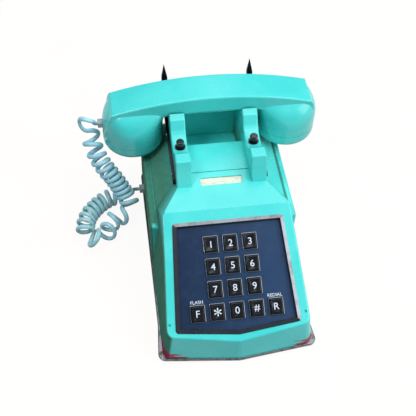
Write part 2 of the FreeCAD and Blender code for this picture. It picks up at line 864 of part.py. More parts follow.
for label, (column, row) in KEYS.items():
    key(label, column, row)


def keypad_sheet(half, low, high):
    """A flat sheet behind the keys with its screw holes."""
    top = POST_TOP_V + POST_RADIUS + size("mat_margin")
    bottom = POST_LOW_V - POST_RADIUS - size("mat_margin")
    return Part.makeBox(2 * half, top - bottom, high - low, Vector(-half, bottom, low))


mat = keypad_sheet(MAT_HALF, MAT_LOW, MAT_TOP)
board = keypad_sheet(POST_X + POST_RADIUS, BOARD_LOW, MAT_LOW)
holes = [cyl("screw_radius", "board_thickness", spot + Vector(0, 0, BOARD_LOW)) for spot in keypad_posts()]
node("keypad_mat", feature("keypad_mat", mat, KEYPAD))
node("keypad_board", feature("keypad_board", board.cut(holes), KEYPAD))
screws = [screw(spot + Vector(0, 0, BOARD_LOW), (0, 0, -1)) for spot in keypad_posts()]
node("keypad_screws", feature("keypad_screws", Part.makeCompound(screws), KEYPAD))

# Number card and its window
card_floor = size("deck_height") - size("card_depth")
node("number_card", block("number_card", "card_width - 2 * window_gap", "card_length - 2 * window_gap",
                          "card_thickness", 0, CARD_Y, card_floor))
node("card_window", block("card_window", "card_width - 2 * window_gap", "card_length - 2 * window_gap",
                          "window_thickness", 0, CARD_Y, card_floor + size("card_thickness")))

# Hook plungers, lever and switch
PIN_Y = SEAT_Y - size("lever_arm")
PIN_Z = size("plunger_foot_height") - size("plunger_clearance") - size("lever_sheet") / 2
CEILING = size("deck_height") - size("wall")


def plunger_shape(x):
    """A plunger: head, neck and a stem down to the lever."""
    top = SEAT_Z + size("plunger_rise")
    foot = size("plunger_foot_height")
    neck_top = top - size("plunger_head")
    stem_top = neck_top - size("plunger_neck")
    radius = size("plunger_radius")
    stem = cyl(radius, stem_top - foot, Vector(x, SEAT_Y, foot))
    neck = cyl("plunger_neck_radius", "plunger_neck", Vector(x, SEAT_Y, stem_top))
    head = cyl(radius, size("plunger_head"), Vector(x, SEAT_Y, neck_top))
    upper = [e for e in head.Edges if e.BoundBox.ZMin > top - 0.01]
    head = head.makeFillet(size("plunger_edge_radius"), upper)
    return stem.fuse([neck, head])


bushes = []
for side, sx in SIDES:
    x = sx * FORK_X
    node("plunger_" + side, feature("plunger_" + side, plunger_shape(x)))
    low = SEAT_Z - size("bush_depth")
    high = SEAT_Z + size("bush_rise")
    bore = size("plunger_radius") + size("plunger_clearance")
    bushes.append(tube(BUSH_RADIUS, bore, high - low, (x, SEAT_Y, low)))
node("plunger_bushes", feature("plunger_bushes", Part.makeCompound(bushes)))

LEVER_LOW = PIN_Z - size("lever_sheet") / 2

bar_length = "2 * (fork_inner + fork_width / 2 + plunger_radius)"
pieces = [block("lever_bar_piece", bar_length, "lever_bar", "lever_sheet", 0, SEAT_Y, LEVER_LOW)]
for side, sx in SIDES:
    x = sx * size("lever_arm_half")
    middle = (PIN_Y + SEAT_Y) / 2
    arm_sizes = ("2 * lever_sheet", "lever_arm", "lever_sheet")
    pieces.append(block("lever_arm_" + side, *arm_sizes, x, middle, LEVER_LOW))
    hub = (x - size("lever_sheet"), PIN_Y, PIN_Z)
    pieces.append(rod("lever_hub_" + side, "hub_radius", "2 * lever_sheet", hub, (1, 0, 0)))
pin_start = (-size("bracket_half"), PIN_Y, PIN_Z)
bore = rod("lever_bore", "hook_pin_radius + pin_clearance", "2 * bracket_half", pin_start, (1, 0, 0))
node("hook_lever", cut("hook_lever", joined("lever_body", *pieces), bore))
node("hook_pin", rod("hook_pin", "hook_pin_radius", "2 * bracket_half", pin_start, (1, 0, 0)))

EAR_HEIGHT = "deck_height - wall - plunger_foot_height + plunger_clearance + lever_sheet / 2 + hub_radius"
top_low = CEILING - size("bracket_sheet")
ears = [block("bracket_top", "2 * bracket_half", "4 * hub_radius", "bracket_sheet", 0, PIN_Y, top_low)]
for side, sx in SIDES:
    x = sx * (size("bracket_half") - size("bracket_sheet") / 2)
    low = PIN_Z - size("hub_radius")
    ears.append(block("bracket_ear_" + side, "bracket_sheet", "2 * hub_radius", EAR_HEIGHT, x, PIN_Y, low))
ear_bore = rod("bracket_bore", "hook_pin_radius", "2 * bracket_half", pin_start, (1, 0, 0))
node("hook_bracket", cut("hook_bracket", joined("bracket_body", *ears), ear_bore))
spring_start = (-size("spring_length") / 2, PIN_Y, PIN_Z)
bore = "hook_pin_radius + pin_clearance"
spring_outer = rod("spring_outer", bore + " + spring_wire", "spring_length", spring_start, (1, 0, 0))
spring_inner = rod("spring_inner", bore, "spring_length", spring_start, (1, 0, 0))
node("hook_spring", cut("hook_spring", spring_outer, spring_inner))
switch_y = PIN_Y + 2 * size("hub_radius") + size("switch_width")
switch_low = CEILING - size("switch_height")
switch_sizes = ("switch_length", "switch_width", "switch_height")
node("hook_switch", block("hook_switch", *switch_sizes, 0, switch_y, switch_low))


# Fins beside the forks
def fin_shape():
    """The right fin: a metal band along the fork and a blade behind the handset that ends in a sharp tip."""
    outer = DECK_HALF + size("fin_thickness")
    band = size("fin_band")
    start = from_front("fin_from_front")
    low, high = size("fin_front_height"), size("fin_rear_height")
    back = REAR + size("fin_gap")
    foot = back + size("fin_blade_foot")
    root = high + size("fin_blade_root")
    strip = prism([
        (DECK_HALF, start, low + band / 2), (DECK_HALF, start + band / 2, low), (DECK_HALF, foot, high),
        (DECK_HALF, foot, high + band), (DECK_HALF, start + band / 2, low + band),
    ], (size("fin_thickness"), 0, 0))
    wide = size("fin_blade_width")
    tip = Vector(outer - wide / 2, REAR + size("fin_overhang"), root + size("fin_blade_rise"))
    inner = outer - wide
    corners = [(back, high), (foot, high), (tip.y, tip.z), (back, root)]
    blade = prism([(inner, y, z) for y, z in corners], (wide, 0, 0))
    for sx in (-1, 1):
        blade = blade.cut(half_space(tip, Vector(sx * size("fin_tip_length"), 0, wide / 2)))
    holes = []
    for y, z in FIN_SCREWS:
        holes.append(cyl("screw_radius", "fin_thickness", (DECK_HALF, y, z), (1, 0, 0)))
    return strip.fuse(blade).removeSplitter().cut(holes)


fin = fin_shape()
node("cradle_fin_right", feature("cradle_fin_right", fin))
node("cradle_fin_left", feature("cradle_fin_left", mirrored(fin)))
screws = []
for sx in (-1, 1):
    for y, z in FIN_SCREWS:
        face = (sx * (DECK_HALF + size("fin_thickness")), y, z)
        head = cyl(size("screw_head_radius") * 0.6, size("screw_head_height") / 2, face, (sx, 0, 0))
        screws.append(head.fuse(cyl("screw_radius", "screw_length", face, (-sx, 0, 0))))
node("fin_screws", feature("fin_screws", Part.makeCompound(screws)))

# Main board with its coil and capacitors
board_sizes = ("main_board_width", "main_board_length", "board_thickness")
node("main_board", block("main_board", *board_sizes, 0, BOARD_Y, BOARD_Z))
board_top = BOARD_Z + size("board_thickness")
coil_y = BOARD_Y + size("main_board_length") / 2 - size("coil_size")
coil_x = -size("coil_size")
coil_sizes = ("coil_size", "coil_size", "coil_height")
node("network_coil", block("network_coil", *coil_sizes, coil_x, coil_y, board_top))
cans = []
for i in range(3):
    x = size("coil_size") / 2 + i * 3 * size("capacitor_radius")
    cans.append(rod("capacitor_%d" % i, "capacitor_radius", "capacitor_height", (x, coil_y, board_top)))
node("capacitors", group("capacitor_group", *cans))

# Ringer
RINGER_Y = from_front("ringer_from_front")
RINGER_TOP = PLATE_TOP + size("ringer_sheet")
GONG_LOW = RINGER_TOP + size("gong_lift") - size("gong_height") + size("gong_wall")
GONGS = {
    "gong_large": (-size("gong_gap") / 2 - size("gong_large_radius"), size("gong_large_radius")),
    "gong_small": (size("gong_gap") / 2 + size("gong_small_radius"), size("gong_small_radius")),
}
CLAPPER_PIVOT_Y = RINGER_Y - size("clapper_arm")
CLAPPER_Z = GONG_LOW + size("gong_height") / 3


def ringer_frame_shape():
    """The ringer's sheet frame with two gong posts, the coil saddle and the clapper post."""
    wide, long, thick = size("ringer_width"), size("ringer_length"), size("ringer_sheet")
    plate = Part.makeBox(wide, long, thick, Vector(-wide / 2, RINGER_Y - long / 2, PLATE_TOP))
    half = size("ringer_tongue") / 2
    corner = Vector(-half, CLAPPER_PIVOT_Y - half, PLATE_TOP)
    tongue = Part.makeBox(2 * half, size("clapper_arm"), thick, corner)
    posts = [cyl("gong_post_radius", "gong_lift", Vector(x, RINGER_Y, RINGER_TOP))
             for x, _ in GONGS.values()]
    rise = CLAPPER_Z - size("clapper_hub_half") - RINGER_TOP
    stub = cyl("gong_post_radius", rise, Vector(0, CLAPPER_PIVOT_Y, RINGER_TOP))
    frame = plate.fuse([tongue, stub] + posts)
    deep = RINGER_TOP + size("gong_lift") - size("gong_screw_grip")
    holes = [cyl("gong_screw_radius", "gong_lift", Vector(x, RINGER_Y, deep)) for x, _ in GONGS.values()]
    holes.append(cyl("clapper_rod", 2 * size("gong_lift"), Vector(0, CLAPPER_PIVOT_Y, RINGER_TOP)))
    return frame.cut(holes)


def gong_shape(x, radius):
    """A bell cup, open at the bottom, with a hole for its screw."""
    outer = cyl(radius, size("gong_height"), Vector(x, RINGER_Y, GONG_LOW))
    top = GONG_LOW + size("gong_height")
    outer = outer.makeFillet(size("gong_height") * 0.6, upper_edges(outer, top))
    deep = size("gong_height") - size("gong_wall")
    inner = cyl(radius - size("gong_wall"), deep, Vector(x, RINGER_Y, GONG_LOW))
    high = top - size("gong_wall")
    inner = inner.makeFillet(size("gong_height") * 0.5, upper_edges(inner, high))
    eye = size("gong_screw_radius") + size("pin_clearance")
    return outer.cut([inner, cyl(eye, 2 * size("gong_height"), Vector(x, RINGER_Y, GONG_LOW))])


node("ringer_frame", feature("ringer_frame", ringer_frame_shape()))
screws = []
for label, (x, radius) in GONGS.items():
    node(label, feature(label, gong_shape(x, radius)))
    top = Vector(x, RINGER_Y, GONG_LOW + size("gong_height"))
    head = cyl("screw_head_radius", "screw_head_height", top)
    screws.append(head.fuse(cyl("gong_screw_radius", "gong_screw_length", top, (0, 0, -1))))
node("gong_screws", feature("gong_screws", Part.makeCompound(screws)))
coil_y = CLAPPER_PIVOT_Y - size("ringer_coil_radius") - size("ringer_coil_gap")
coil_start = (-size("ringer_coil_length") / 2, coil_y, PLATE_TOP + size("ringer_coil_radius"))
node("ringer_coil", rod("ringer_coil", "ringer_coil_radius", "ringer_coil_length", coil_start, (1, 0, 0)))
hub_low = (0, CLAPPER_PIVOT_Y, CLAPPER_Z - size("clapper_hub_half"))
hub = rod("clapper_hub", "gong_post_radius", "2 * clapper_hub_half", hub_low)
arm = rod("clapper_rod_piece", "clapper_rod", "clapper_arm", (0, CLAPPER_PIVOT_Y, CLAPPER_Z), (0, 1, 0))
ball = bind(doc.addObject("Part::Sphere", "clapper_ball_piece"), Radius="clapper_ball")
ball.Placement.Base = Vector(0, RINGER_Y, CLAPPER_Z)
eye = rod("clapper_eye", "clapper_rod + pin_clearance", "2 * gong_lift", (0, CLAPPER_PIVOT_Y, RINGER_TOP))
node("clapper", cut("clapper", joined("clapper_body", hub, arm, ball), eye))
pin_height = "gong_lift - 2 * gong_height / 3 + gong_wall + 3 * clapper_rod"
node("clapper_pin", rod("clapper_pin", "clapper_rod", pin_height, (0, CLAPPER_PIVOT_Y, RINGER_TOP)))

# Volume wheel
wheel_low = (WHEEL_X, WHEEL_Y, size("wheel_height"))
wheel_foot = (WHEEL_X, WHEEL_Y, PLATE_TOP)
disc = rod("wheel_disc", "wheel_radius", "wheel_thickness", wheel_low)
wheel_eye = rod("wheel_eye", "wheel_pin_radius + pin_clearance", "wheel_thickness", wheel_low)
node("volume_wheel", cut("volume_wheel", disc, wheel_eye))
post_height = "wheel_height - foot_height - plate_thickness - pin_clearance"
post = rod("wheel_post", "2 * wheel_pin_radius", post_height, wheel_foot)
stem = rod("wheel_stem", "wheel_pin_radius", post_height + " + pin_clearance + wheel_thickness", wheel_foot)
node("volume_pin", joined("volume_pin", post, stem))


# Jacks
def upright_block(middle, wide, high, inward):
    """A block of a width and height whose outer face is centred on a point, run inward."""
    across = Vector(inward).cross(Vector(0, 0, 1)).normalize() * wide
    up = Vector(0, 0, high)
    corner = Vector(middle) - across * 0.5 - up * 0.5
    return prism([corner, corner + across, corner + across + up, corner + up], inward)


def with_socket(case, mouth, inward):
    """A jack's case with its plug hole; mouth is the middle of its open face."""
    hole = Vector(inward) * size("socket_depth")
    return case.cut(upright_block(mouth, size("socket_width"), size("socket_height"), hole))


JACK_MOUTH = Vector(-size("body_width") / 2, JACK_Y, size("jack_centre_height"))
LINE_MOUTH = Vector(size("line_jack_x"), REAR, size("jack_centre_height"))
node("handset_jack", feature("handset_jack", with_socket(jack_block(0), JACK_MOUTH, (1, 0, 0))))
node("line_jack", feature("line_jack", with_socket(line_jack_block(0), LINE_MOUTH, (0, -1, 0))))

# Handset
HANDLE_Y = from_front("prong_rear") + size("handle_gap") + size("handle_width") / 2
CAP_TOP = size("handset_low") + size("cap_height")
CUP_LOW = CAP_TOP + size("cap_gap")
HANDSET_END = size("handset_half_spacing") + size("cup_radius")
CORD_Z = CUP_LOW + size("cup_bore_depth") / 2 + size("socket_lift")
SECTION_POINTS = 36
DOME_LEVELS = 7


def ease(share):
    """A smooth ramp from 0 to 1."""
    share = min(max(share, 0.0), 1.0)
    return share * share * (3 - 2 * share)


def arch(half, middle, drop):
    """Three points of a shallow arch in the XZ plane: left end, crown and right end."""
    return [Vector(-half, 0, middle - drop), Vector(0, 0, middle), Vector(half, 0, middle - drop)]


SOCKET_MOUTH = Vector(-HANDSET_END + 1, HANDLE_Y, CORD_Z)
END_BULGE_OUT, END_BULGE_DOWN = 0.77, 0.43


def handle_shape():
    """The handle: a broad flat arch whose ends round over and down into the cups."""
    top = arch(HANDSET_END - size("handle_end_lean"), size("handle_top"), size("handle_end_drop"))
    under = arch(size("handle_under_half"), size("handle_bottom"), size("handle_under_drop"))
    end_low = top[2].z - size("handle_end_height")
    right_end = Vector(HANDSET_END - size("handle_end_inset"), 0, end_low)
    left_end = Vector(-right_end.x, 0, end_low)
    foot_z = CUP_LOW + size("cup_bore_depth")
    right_foot = Vector(size("handset_half_spacing"), 0, foot_z)
    left_foot = Vector(-right_foot.x, 0, foot_z)
    bulge = Vector((right_end.x - top[2].x) * END_BULGE_OUT, 0, -size("handle_end_height") * END_BULGE_DOWN)
    right_bulge, left_bulge = top[2] + bulge, top[0] + Vector(-bulge.x, 0, bulge.z)
    edges = [
        Part.Arc(*top).toShape(),
        Part.Arc(top[2], right_bulge, right_end).toShape(),
        Part.LineSegment(right_end, right_foot).toShape(),
        Part.LineSegment(right_foot, under[2]).toShape(),
        Part.Arc(under[2], under[1], under[0]).toShape(),
        Part.LineSegment(under[0], left_foot).toShape(),
        Part.LineSegment(left_foot, left_end).toShape(),
        Part.Arc(left_end, left_bulge, top[0]).toShape(),
    ]
    wide = size("handle_width")
    solid = Part.Face(Part.Wire(edges)).extrude(Vector(0, wide, 0))
    solid.translate(Vector(0, HANDLE_Y - wide / 2, 0))
    plan = Part.makeBox(2 * HANDSET_END, wide, BIG, Vector(-HANDSET_END, HANDLE_Y - wide / 2, 0))
    upright = [e for e in plan.Edges if e.BoundBox.ZLength > wide]
    solid = solid.common(plan.makeFillet(size("handle_corner_radius"), upright))
    crown = max(solid.Faces, key=lambda f: f.CenterOfMass.z)
    solid = solid.makeFillet(size("handle_edge_radius"), crown.Edges)
    low = size("handle_bottom") + size("handle_under_radius")
    flat = [e for e in solid.Edges if e.BoundBox.YLength < 0.01 and e.BoundBox.ZMax < low]
    lower = [e for e in flat if e.BoundBox.XLength > size("handle_under_half")]
    return solid.makeFillet(size("handle_under_radius"), lower)


def dome_fall(share):
    """How far a round dome has drawn in at a share of its height."""
    return 1 - math.sqrt(1 - (size("cup_roundness") * share) ** 2)


def cup_section(x, outward, z):
    """A level section of a cup: a circle low down that draws in to the handle's end higher up."""
    radius = size("cup_radius")
    share = min(max(z - CUP_LOW - size("cup_side"), 0) / size("cup_shoulder"), 1)
    rise = dome_fall(share) / dome_fall(1)
    beyond = radius - size("cup_end_lean") * rise
    inward = radius + size("cup_flare") * share * share
    across = radius + (size("handle_width") / 2 - size("cup_top_inset") - radius) * rise
    power = 2 + size("cup_squareness") * rise
    points = []
    for i in range(SECTION_POINTS):
        along, aside = math.cos(2 * math.pi * i / SECTION_POINTS), math.sin(2 * math.pi * i / SECTION_POINTS)
        reach = beyond if along > 0 else inward
        far = (abs(along / reach) ** power + abs(aside / across) ** power) ** (-1 / power)
        points.append(Vector(x + outward * far * along, HANDLE_Y + far * aside, z))
    curve = Part.BSplineCurve()
    curve.interpolate(points, PeriodicFlag=True)
    return Part.Wire(curve.toShape())


def cup_shape(x, outward):
    """A cup: a round wall and above it a dome that swells out of the handle's end."""
    foot = CUP_LOW + size("cup_side")
    levels = [CUP_LOW, (CUP_LOW + foot) / 2]
    for i in range(DOME_LEVELS + 1):
        levels.append(foot + size("cup_shoulder") * math.sin(math.pi / 2 * i / DOME_LEVELS))
    return Part.makeLoft([cup_section(x, outward, z) for z in levels], True, False)


def socket_block(grow):
    """The cord socket's case in the left cup's wall."""
    wide, high = size("jack_width") + 2 * grow, size("jack_height") + 2 * grow
    corner = Vector(SOCKET_MOUTH.x, HANDLE_Y - wide / 2, CORD_Z - high / 2)
    return Part.makeBox(size("socket_depth") + 2 + grow, wide, high, corner)


def handset_shape():
    """The handset's shell: handle and two cups, bored for the capsules."""
    spacing = size("handset_half_spacing")
    solid = handle_shape().fuse([cup_shape(sx * spacing, sx) for sx in (-1, 1)])
    bores = []
    for sx in (-1, 1):
        bores.append(cyl("cup_bore", "cup_bore_depth", Vector(sx * spacing, HANDLE_Y, CUP_LOW)))
    wide, high = size("socket_width"), size("socket_height")
    corner = Vector(-HANDSET_END - 2, HANDLE_Y - wide / 2, CORD_Z - high / 2)
    mouth = Part.makeBox(size("plug_show"), wide, high, corner)
    return solid.cut(bores + [socket_block(size("window_gap")), mouth]).removeSplitter()


def cap_shape(x):
    """A screw-on cap: a dished cup with a spigot and a ring of sound holes."""
    low, radius = size("handset_low"), size("cup_radius")
    body = cyl(radius, size("cap_height"), Vector(x, HANDLE_Y, low))
    body = body.makeFillet(size("cap_edge_radius"), [e for e in body.Edges if e.BoundBox.ZMax < low + 0.01])
    bore = size("cup_bore") - size("cap_gap") - size("cap_spigot_wall")
    outer = size("cup_bore") - size("cap_gap")
    spigot = cyl(outer, size("cap_spigot"), Vector(x, HANDLE_Y, CAP_TOP))
    body = body.fuse(spigot)
    tools = [cyl(bore, size("cap_height") + size("cap_spigot"), Vector(x, HANDLE_Y, low + size("cap_floor")))]
    for i in range(7):
        turn = math.radians(60 * i)
        ring = size("sound_hole_ring") if i else 0
        spot = Vector(x + ring * math.cos(turn), HANDLE_Y + ring * math.sin(turn), low)
        tools.append(cyl("sound_hole_radius", 10, spot))
    return body.cut(tools)


node("handset_shell", feature("handset_shell", handset_shape()))
EARS = (("mouthpiece_cap", "transmitter_capsule", -1), ("earpiece_cap", "receiver_capsule", 1))
for label, capsule, sx in EARS:
    x = sx * size("handset_half_spacing")
    node(label, feature(label, cap_shape(x)))
    seat = (x, HANDLE_Y, size("handset_low") + size("cap_floor"))
    node(capsule, rod(capsule, "capsule_radius", "capsule_height", seat))
node("handset_socket", feature("handset_socket", with_socket(socket_block(0), SOCKET_MOUTH, (1, 0, 0))))


# Cord plugs
def plug_shape(mouth, inward):
    """A modular plug: a block in the socket that stands out far enough to hold."""
    gap = size("plug_clearance")
    wide, high = size("socket_width") - 2 * gap, size("socket_height") - 2 * gap
    start = Vector(mouth) - Vector(inward) * size("plug_show")
    depth = size("plug_show") + size("socket_depth") - gap
    return upright_block(start, wide, high, Vector(inward) * depth)


node("cord_plug_base", feature("cord_plug_base", plug_shape(JACK_MOUTH, (1, 0, 0))))
node("cord_plug_handset", feature("cord_plug_handset", plug_shape(SOCKET_MOUTH, (1, 0, 0))))

# Curly cord: one tube wound round a smooth route from the handset's plug to the jack's plug
HANDSET_END_OF_CORD = SOCKET_MOUTH - Vector(size("plug_show"), 0, 0)
JACK_END_OF_CORD = JACK_MOUTH - Vector(size("plug_show"), 0, 0)
COIL_FLOOR = size("curl_radius") + size("cord_diameter") / 2 + size("cord_floor_gap")
ROUTE = [
    HANDSET_END_OF_CORD,
    HANDSET_END_OF_CORD + Vector(-2, 0, 0),
    HANDSET_END_OF_CORD + Vector(-4, 0, 0),
    HANDSET_END_OF_CORD + Vector(-9, 0.5, 4),
    HANDSET_END_OF_CORD + Vector(-9.5, 6, -2),
    HANDSET_END_OF_CORD + Vector(-9.5, 8.5, -10),
    Vector(-116.5, 97, 79.5),
    Vector(-115, 85, 73),
    Vector(-107.5, 74, 59),
    Vector(-97, 67.5, 45),
    Vector(-89.5, 60.5, 32),
    Vector(-82.5, 53, 20),
    Vector(-88.5, 47, 11.5),
    Vector(-99, 46, COIL_FLOOR),
    Vector(-105.5, 38.5, COIL_FLOOR),
    Vector(-108, 28, COIL_FLOOR),
    Vector(-119, 19.5, COIL_FLOOR),
    Vector(-130, 26.5, COIL_FLOOR),
    Vector(-130.5, 39, COIL_FLOOR),
    Vector(-126.5, 51.5, COIL_FLOOR),
    Vector(-118, 62, COIL_FLOOR),
    Vector(-106.5, 71.5, COIL_FLOOR),
    JACK_END_OF_CORD + Vector(-17, 0, COIL_FLOOR - JACK_END_OF_CORD.z),
    JACK_END_OF_CORD + Vector(-6, 0, 0),
    JACK_END_OF_CORD + Vector(-3, 0, 0),
    JACK_END_OF_CORD,
]
STEP = 0.25
MOST_BEND = 0.75


def route_points():
    """Points a short step apart along the smooth curve that the route's points steer."""
    spans = len(ROUTE) - 2
    knots = list(range(spans + 1))
    curve = Part.BSplineCurve()
    curve.buildFromPolesMultsKnots(ROUTE, [3] + [1] * (spans - 1) + [3], knots, False, 2)
    return curve.discretize(Number=int(curve.length() / STEP) + 1)


def spread(values, reach):
    """A list of numbers smoothed over a reach to each side."""
    sums = [0.0]
    for value in values:
        sums.append(sums[-1] + value)
    count = len(values)
    lows = [max(i - reach, 0) for i in range(count)]
    highs = [min(i + reach + 1, count) for i in range(count)]
    return [(sums[h] - sums[l]) / (h - l) for l, h in zip(lows, highs)]


def curly_line():
    """The cord's own centre line: fine points, and the turns wound up to each."""
    axis = route_points()
    count = len(axis)
    along = [(axis[min(i + 1, count - 1)] - axis[max(i - 1, 0)]).normalize() for i in range(count)]
    step = (axis[1] - axis[0]).Length
    bend = [(along[min(i + 1, count - 1)] - along[max(i - 1, 0)]).Length / (2 * step) for i in range(count)]
    bend = spread(bend, int(size("curl_radius") / step))
    total = step * (count - 1)
    side = along[0].cross(Vector(0, 0, 1)).normalize()
    turns = 0.0
    line, wound = [], []
    for i, point in enumerate(axis):
        gone = i * step
        ramp = ease((gone - size("cord_lead")) / size("cord_start"))
        ramp *= ease((total - size("cord_tail") - gone) / size("cord_ramp"))
        side = (side - along[i] * side.dot(along[i])).normalize()
        other = along[i].cross(side)
        angle = 2 * math.pi * turns
        radius = size("curl_radius") * ramp
        line.append(point + (side * math.cos(angle) - other * math.sin(angle)) * radius)
        wound.append(turns)
        pull = 1 + size("curl_stretch") * math.exp(-(gone / size("curl_stretch_reach")) ** 2)
        pitch = size("curl_spacing") * pull / (1 - min(size("curl_reach") * bend[i], MOST_BEND))
        pitch = pitch * ramp + size("cord_ramp") * (1 - ramp)
        turns += step / pitch
    return line, wound


def arc_from(start, heading, end):
    """An arc that leaves its start along a heading and ends on a point."""
    chord = end - start
    across = heading - chord * (heading.dot(chord) / chord.dot(chord))
    if across.Length < 1e-5:
        return Part.LineSegment(start, end)
    lean = heading.getAngle(chord)
    middle = (start + end) * 0.5 + across.normalize() * (chord.Length / 2 * math.tan(lean / 2))
    return Part.Arc(start, middle, end)


def biarc(start, start_heading, end, end_heading):
    """Two arcs, smooth where they meet, between two points with their headings."""
    chord = end - start
    mean = chord.dot(start_heading + end_heading)
    turn = 2 * (1 - start_heading.dot(end_heading))
    if turn < 1e-8:
        reach = chord.Length / 4
    else:
        reach = (math.sqrt(mean * mean + turn * chord.dot(chord)) - mean) / turn
    middle = (start + end + (start_heading - end_heading) * reach) * 0.5
    second = arc_from(end, end_heading * -1, middle)
    return [arc_from(start, start_heading, middle), second]


def cord_shape():
    """The cord's tube on biarcs of half a turn each; prints its length and its least gap to itself."""
    line, wound = curly_line()
    last = len(line) - 1
    straight = math.ceil(size("cord_diameter") / STEP) + 1
    picks = [0, straight]
    for i in range(2 * straight, last - 2 * straight):
        if int(2 * wound[i]) > int(2 * wound[i - 1]):
            picks.append(i)
    picks.extend([last - straight, last])
    headings = [(line[min(i + 1, last)] - line[max(i - 1, 0)]).normalize() for i in picks]
    curves = []
    for a, b, start, end in zip(picks, picks[1:], headings, headings[1:]):
        curves.extend(biarc(line[a], start, line[b], end))
    wire = Part.Wire(Part.__sortEdges__([c.toShape() for c in curves]))
    radius = size("cord_diameter") / 2
    profile = Part.Wire(Part.makeCircle(radius, line[0], headings[0]))
    shell = Part.BRepOffsetAPI.MakePipeShell(wire)
    shell.add(profile)
    shell.build()
    shell.makeSolid()
    points = wire.discretize(Distance=1.0)
    apart = int(3 * size("cord_diameter"))
    least = min((p - q).Length for i, p in enumerate(points) for q in points[i + apart:])
    facts = (wire.Length, wound[-1], least - 2 * radius)
    print("cord length mm: %.0f, turns: %.1f, least gap mm: %.2f" % facts)
    return shell.shape()


node("handset_cord", feature("handset_cord", cord_shape()))

# Check every object and write the sub-parts
doc.recompute()
for obj in doc.Objects:
    if "Invalid" in obj.State or "Error" in obj.State:
        raise RuntimeError("failed object: " + obj.Label)
os.makedirs("parts", exist_ok=True)
for obj in NODES:
    if obj.Shape.isNull() or not obj.Shape.isValid():
        raise RuntimeError("bad shape: " + obj.Label)
    obj.Shape.exportStep(os.path.join("parts", obj.Label + ".step"))
print("sub-parts written:", len(NODES))
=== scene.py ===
import json
import math

import bpy
from mathutils import Matrix, Vector


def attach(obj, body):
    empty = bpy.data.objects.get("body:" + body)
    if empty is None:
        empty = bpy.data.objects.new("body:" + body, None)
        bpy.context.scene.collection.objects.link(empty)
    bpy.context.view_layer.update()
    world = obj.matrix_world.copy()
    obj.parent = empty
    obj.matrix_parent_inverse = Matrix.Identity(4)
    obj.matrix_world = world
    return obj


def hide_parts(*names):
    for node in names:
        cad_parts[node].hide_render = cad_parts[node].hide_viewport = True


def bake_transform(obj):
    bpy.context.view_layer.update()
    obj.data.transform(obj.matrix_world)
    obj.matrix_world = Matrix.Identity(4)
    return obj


bl_info = {
    "name": "Push-button desk telephone",
    "version": (1, 0, 0),
    "blender": (4, 5, 0),
    "location": "View3D > Sidebar > Telephone",
    "description": "Dresses the packed telephone: finishes, key caps, figures, curly cord and studio",
    "category": "Object",
}

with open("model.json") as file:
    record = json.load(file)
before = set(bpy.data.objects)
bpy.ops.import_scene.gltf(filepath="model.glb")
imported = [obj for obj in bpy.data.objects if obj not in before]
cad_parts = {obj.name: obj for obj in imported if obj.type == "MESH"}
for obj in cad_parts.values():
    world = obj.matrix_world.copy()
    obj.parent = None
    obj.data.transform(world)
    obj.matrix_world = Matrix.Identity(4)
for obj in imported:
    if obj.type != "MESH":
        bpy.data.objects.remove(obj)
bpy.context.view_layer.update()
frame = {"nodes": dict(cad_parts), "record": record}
MM = 0.001


def hex_colour(text):
    """A linear colour from an sRGB hex value."""
    parts = [int(text[i:i + 2], 16) / 255 for i in (1, 3, 5)]
    return [c / 12.92 if c <= 0.04045 else ((c + 0.055) / 1.055) ** 2.4 for c in parts]


def colour_property(name, description, text):
    """A colour that the user may change, given as a hex value."""
    return bpy.props.FloatVectorProperty(
        name=name, description=description, subtype="COLOR", size=3, min=0, max=1, default=hex_colour(text))


def length_property(name, description, millimetres):
    """A length that the user may change, given in millimetres."""
    return bpy.props.FloatProperty(
        name=name, description=description, unit="LENGTH", min=0, precision=5, default=millimetres * MM)


class TelephoneColours(bpy.types.PropertyGroup):
    shell: colour_property("Shell", "Turquoise of the housing and handset", "#55E2DC")
    shell_deep: colour_property("Shell, deep", "Deeper turquoise that mottles the shell", "#44D9D5")
    # Painted shade, with some grime, on the left flank
    flank_shade_and_grime: colour_property("Film", "Dull green film on the left flank", "#4A7A5C")
    # Painted shade in the shell's corners, from ambient occlusion, mixed with grime
    shade_and_grime: colour_property("Grime", "Dirt that settles in the shell's corners", "#2F5646")
    streak: colour_property("Streak", "Red of the streaks painted on the front corners", "#A03A55")
    panel: colour_property("Panel", "Navy of the keypad's faceplate", "#1A2E4B")
    key: colour_property("Key", "Black of the keys and plungers", "#0E1218")
    figure: colour_property("Figure", "Pale print on the keys", "#E3ECF5")
    trim: colour_property("Trim", "Plated metal of the bezel", "#7C8086")
    rim: colour_property("Rim", "Plated metal of the base plate", "#7A7C7E")
    card: colour_property("Card", "Number card behind its window", "#EEF0DC")
    cord_high: colour_property("Cord, upper", "Vinyl of the cord near the handset", "#AEE6F6")
    cord_low: colour_property("Cord, lower", "Vinyl of the cord on the table", "#ACE0E6")


class TelephoneSizes(bpy.types.PropertyGroup):
    cord_width: length_property("Cord width", "Width of the cord's own oval tube, along the coil", 4.6)
    cord_thickness: length_property("Cord thickness", "Thickness of the tube, across the coil", 3.6)
    curl_radius: length_property("Curl radius", "From the middle of a curl to the middle of the tube", 7.9)
    curl_spacing: length_property("Curl spacing", "From one curl to the next", 5.1)
    figure_height: length_property("Figure height", "Height of the print on a key", 6.0)
    label_height: length_property("Label height", "Height of the small words beside the keys", 2.9)


def colours():
    """The scene's colour settings."""
    return bpy.context.scene.telephone_colours


def sizes():
    """The scene's size settings."""
    return bpy.context.scene.telephone_sizes


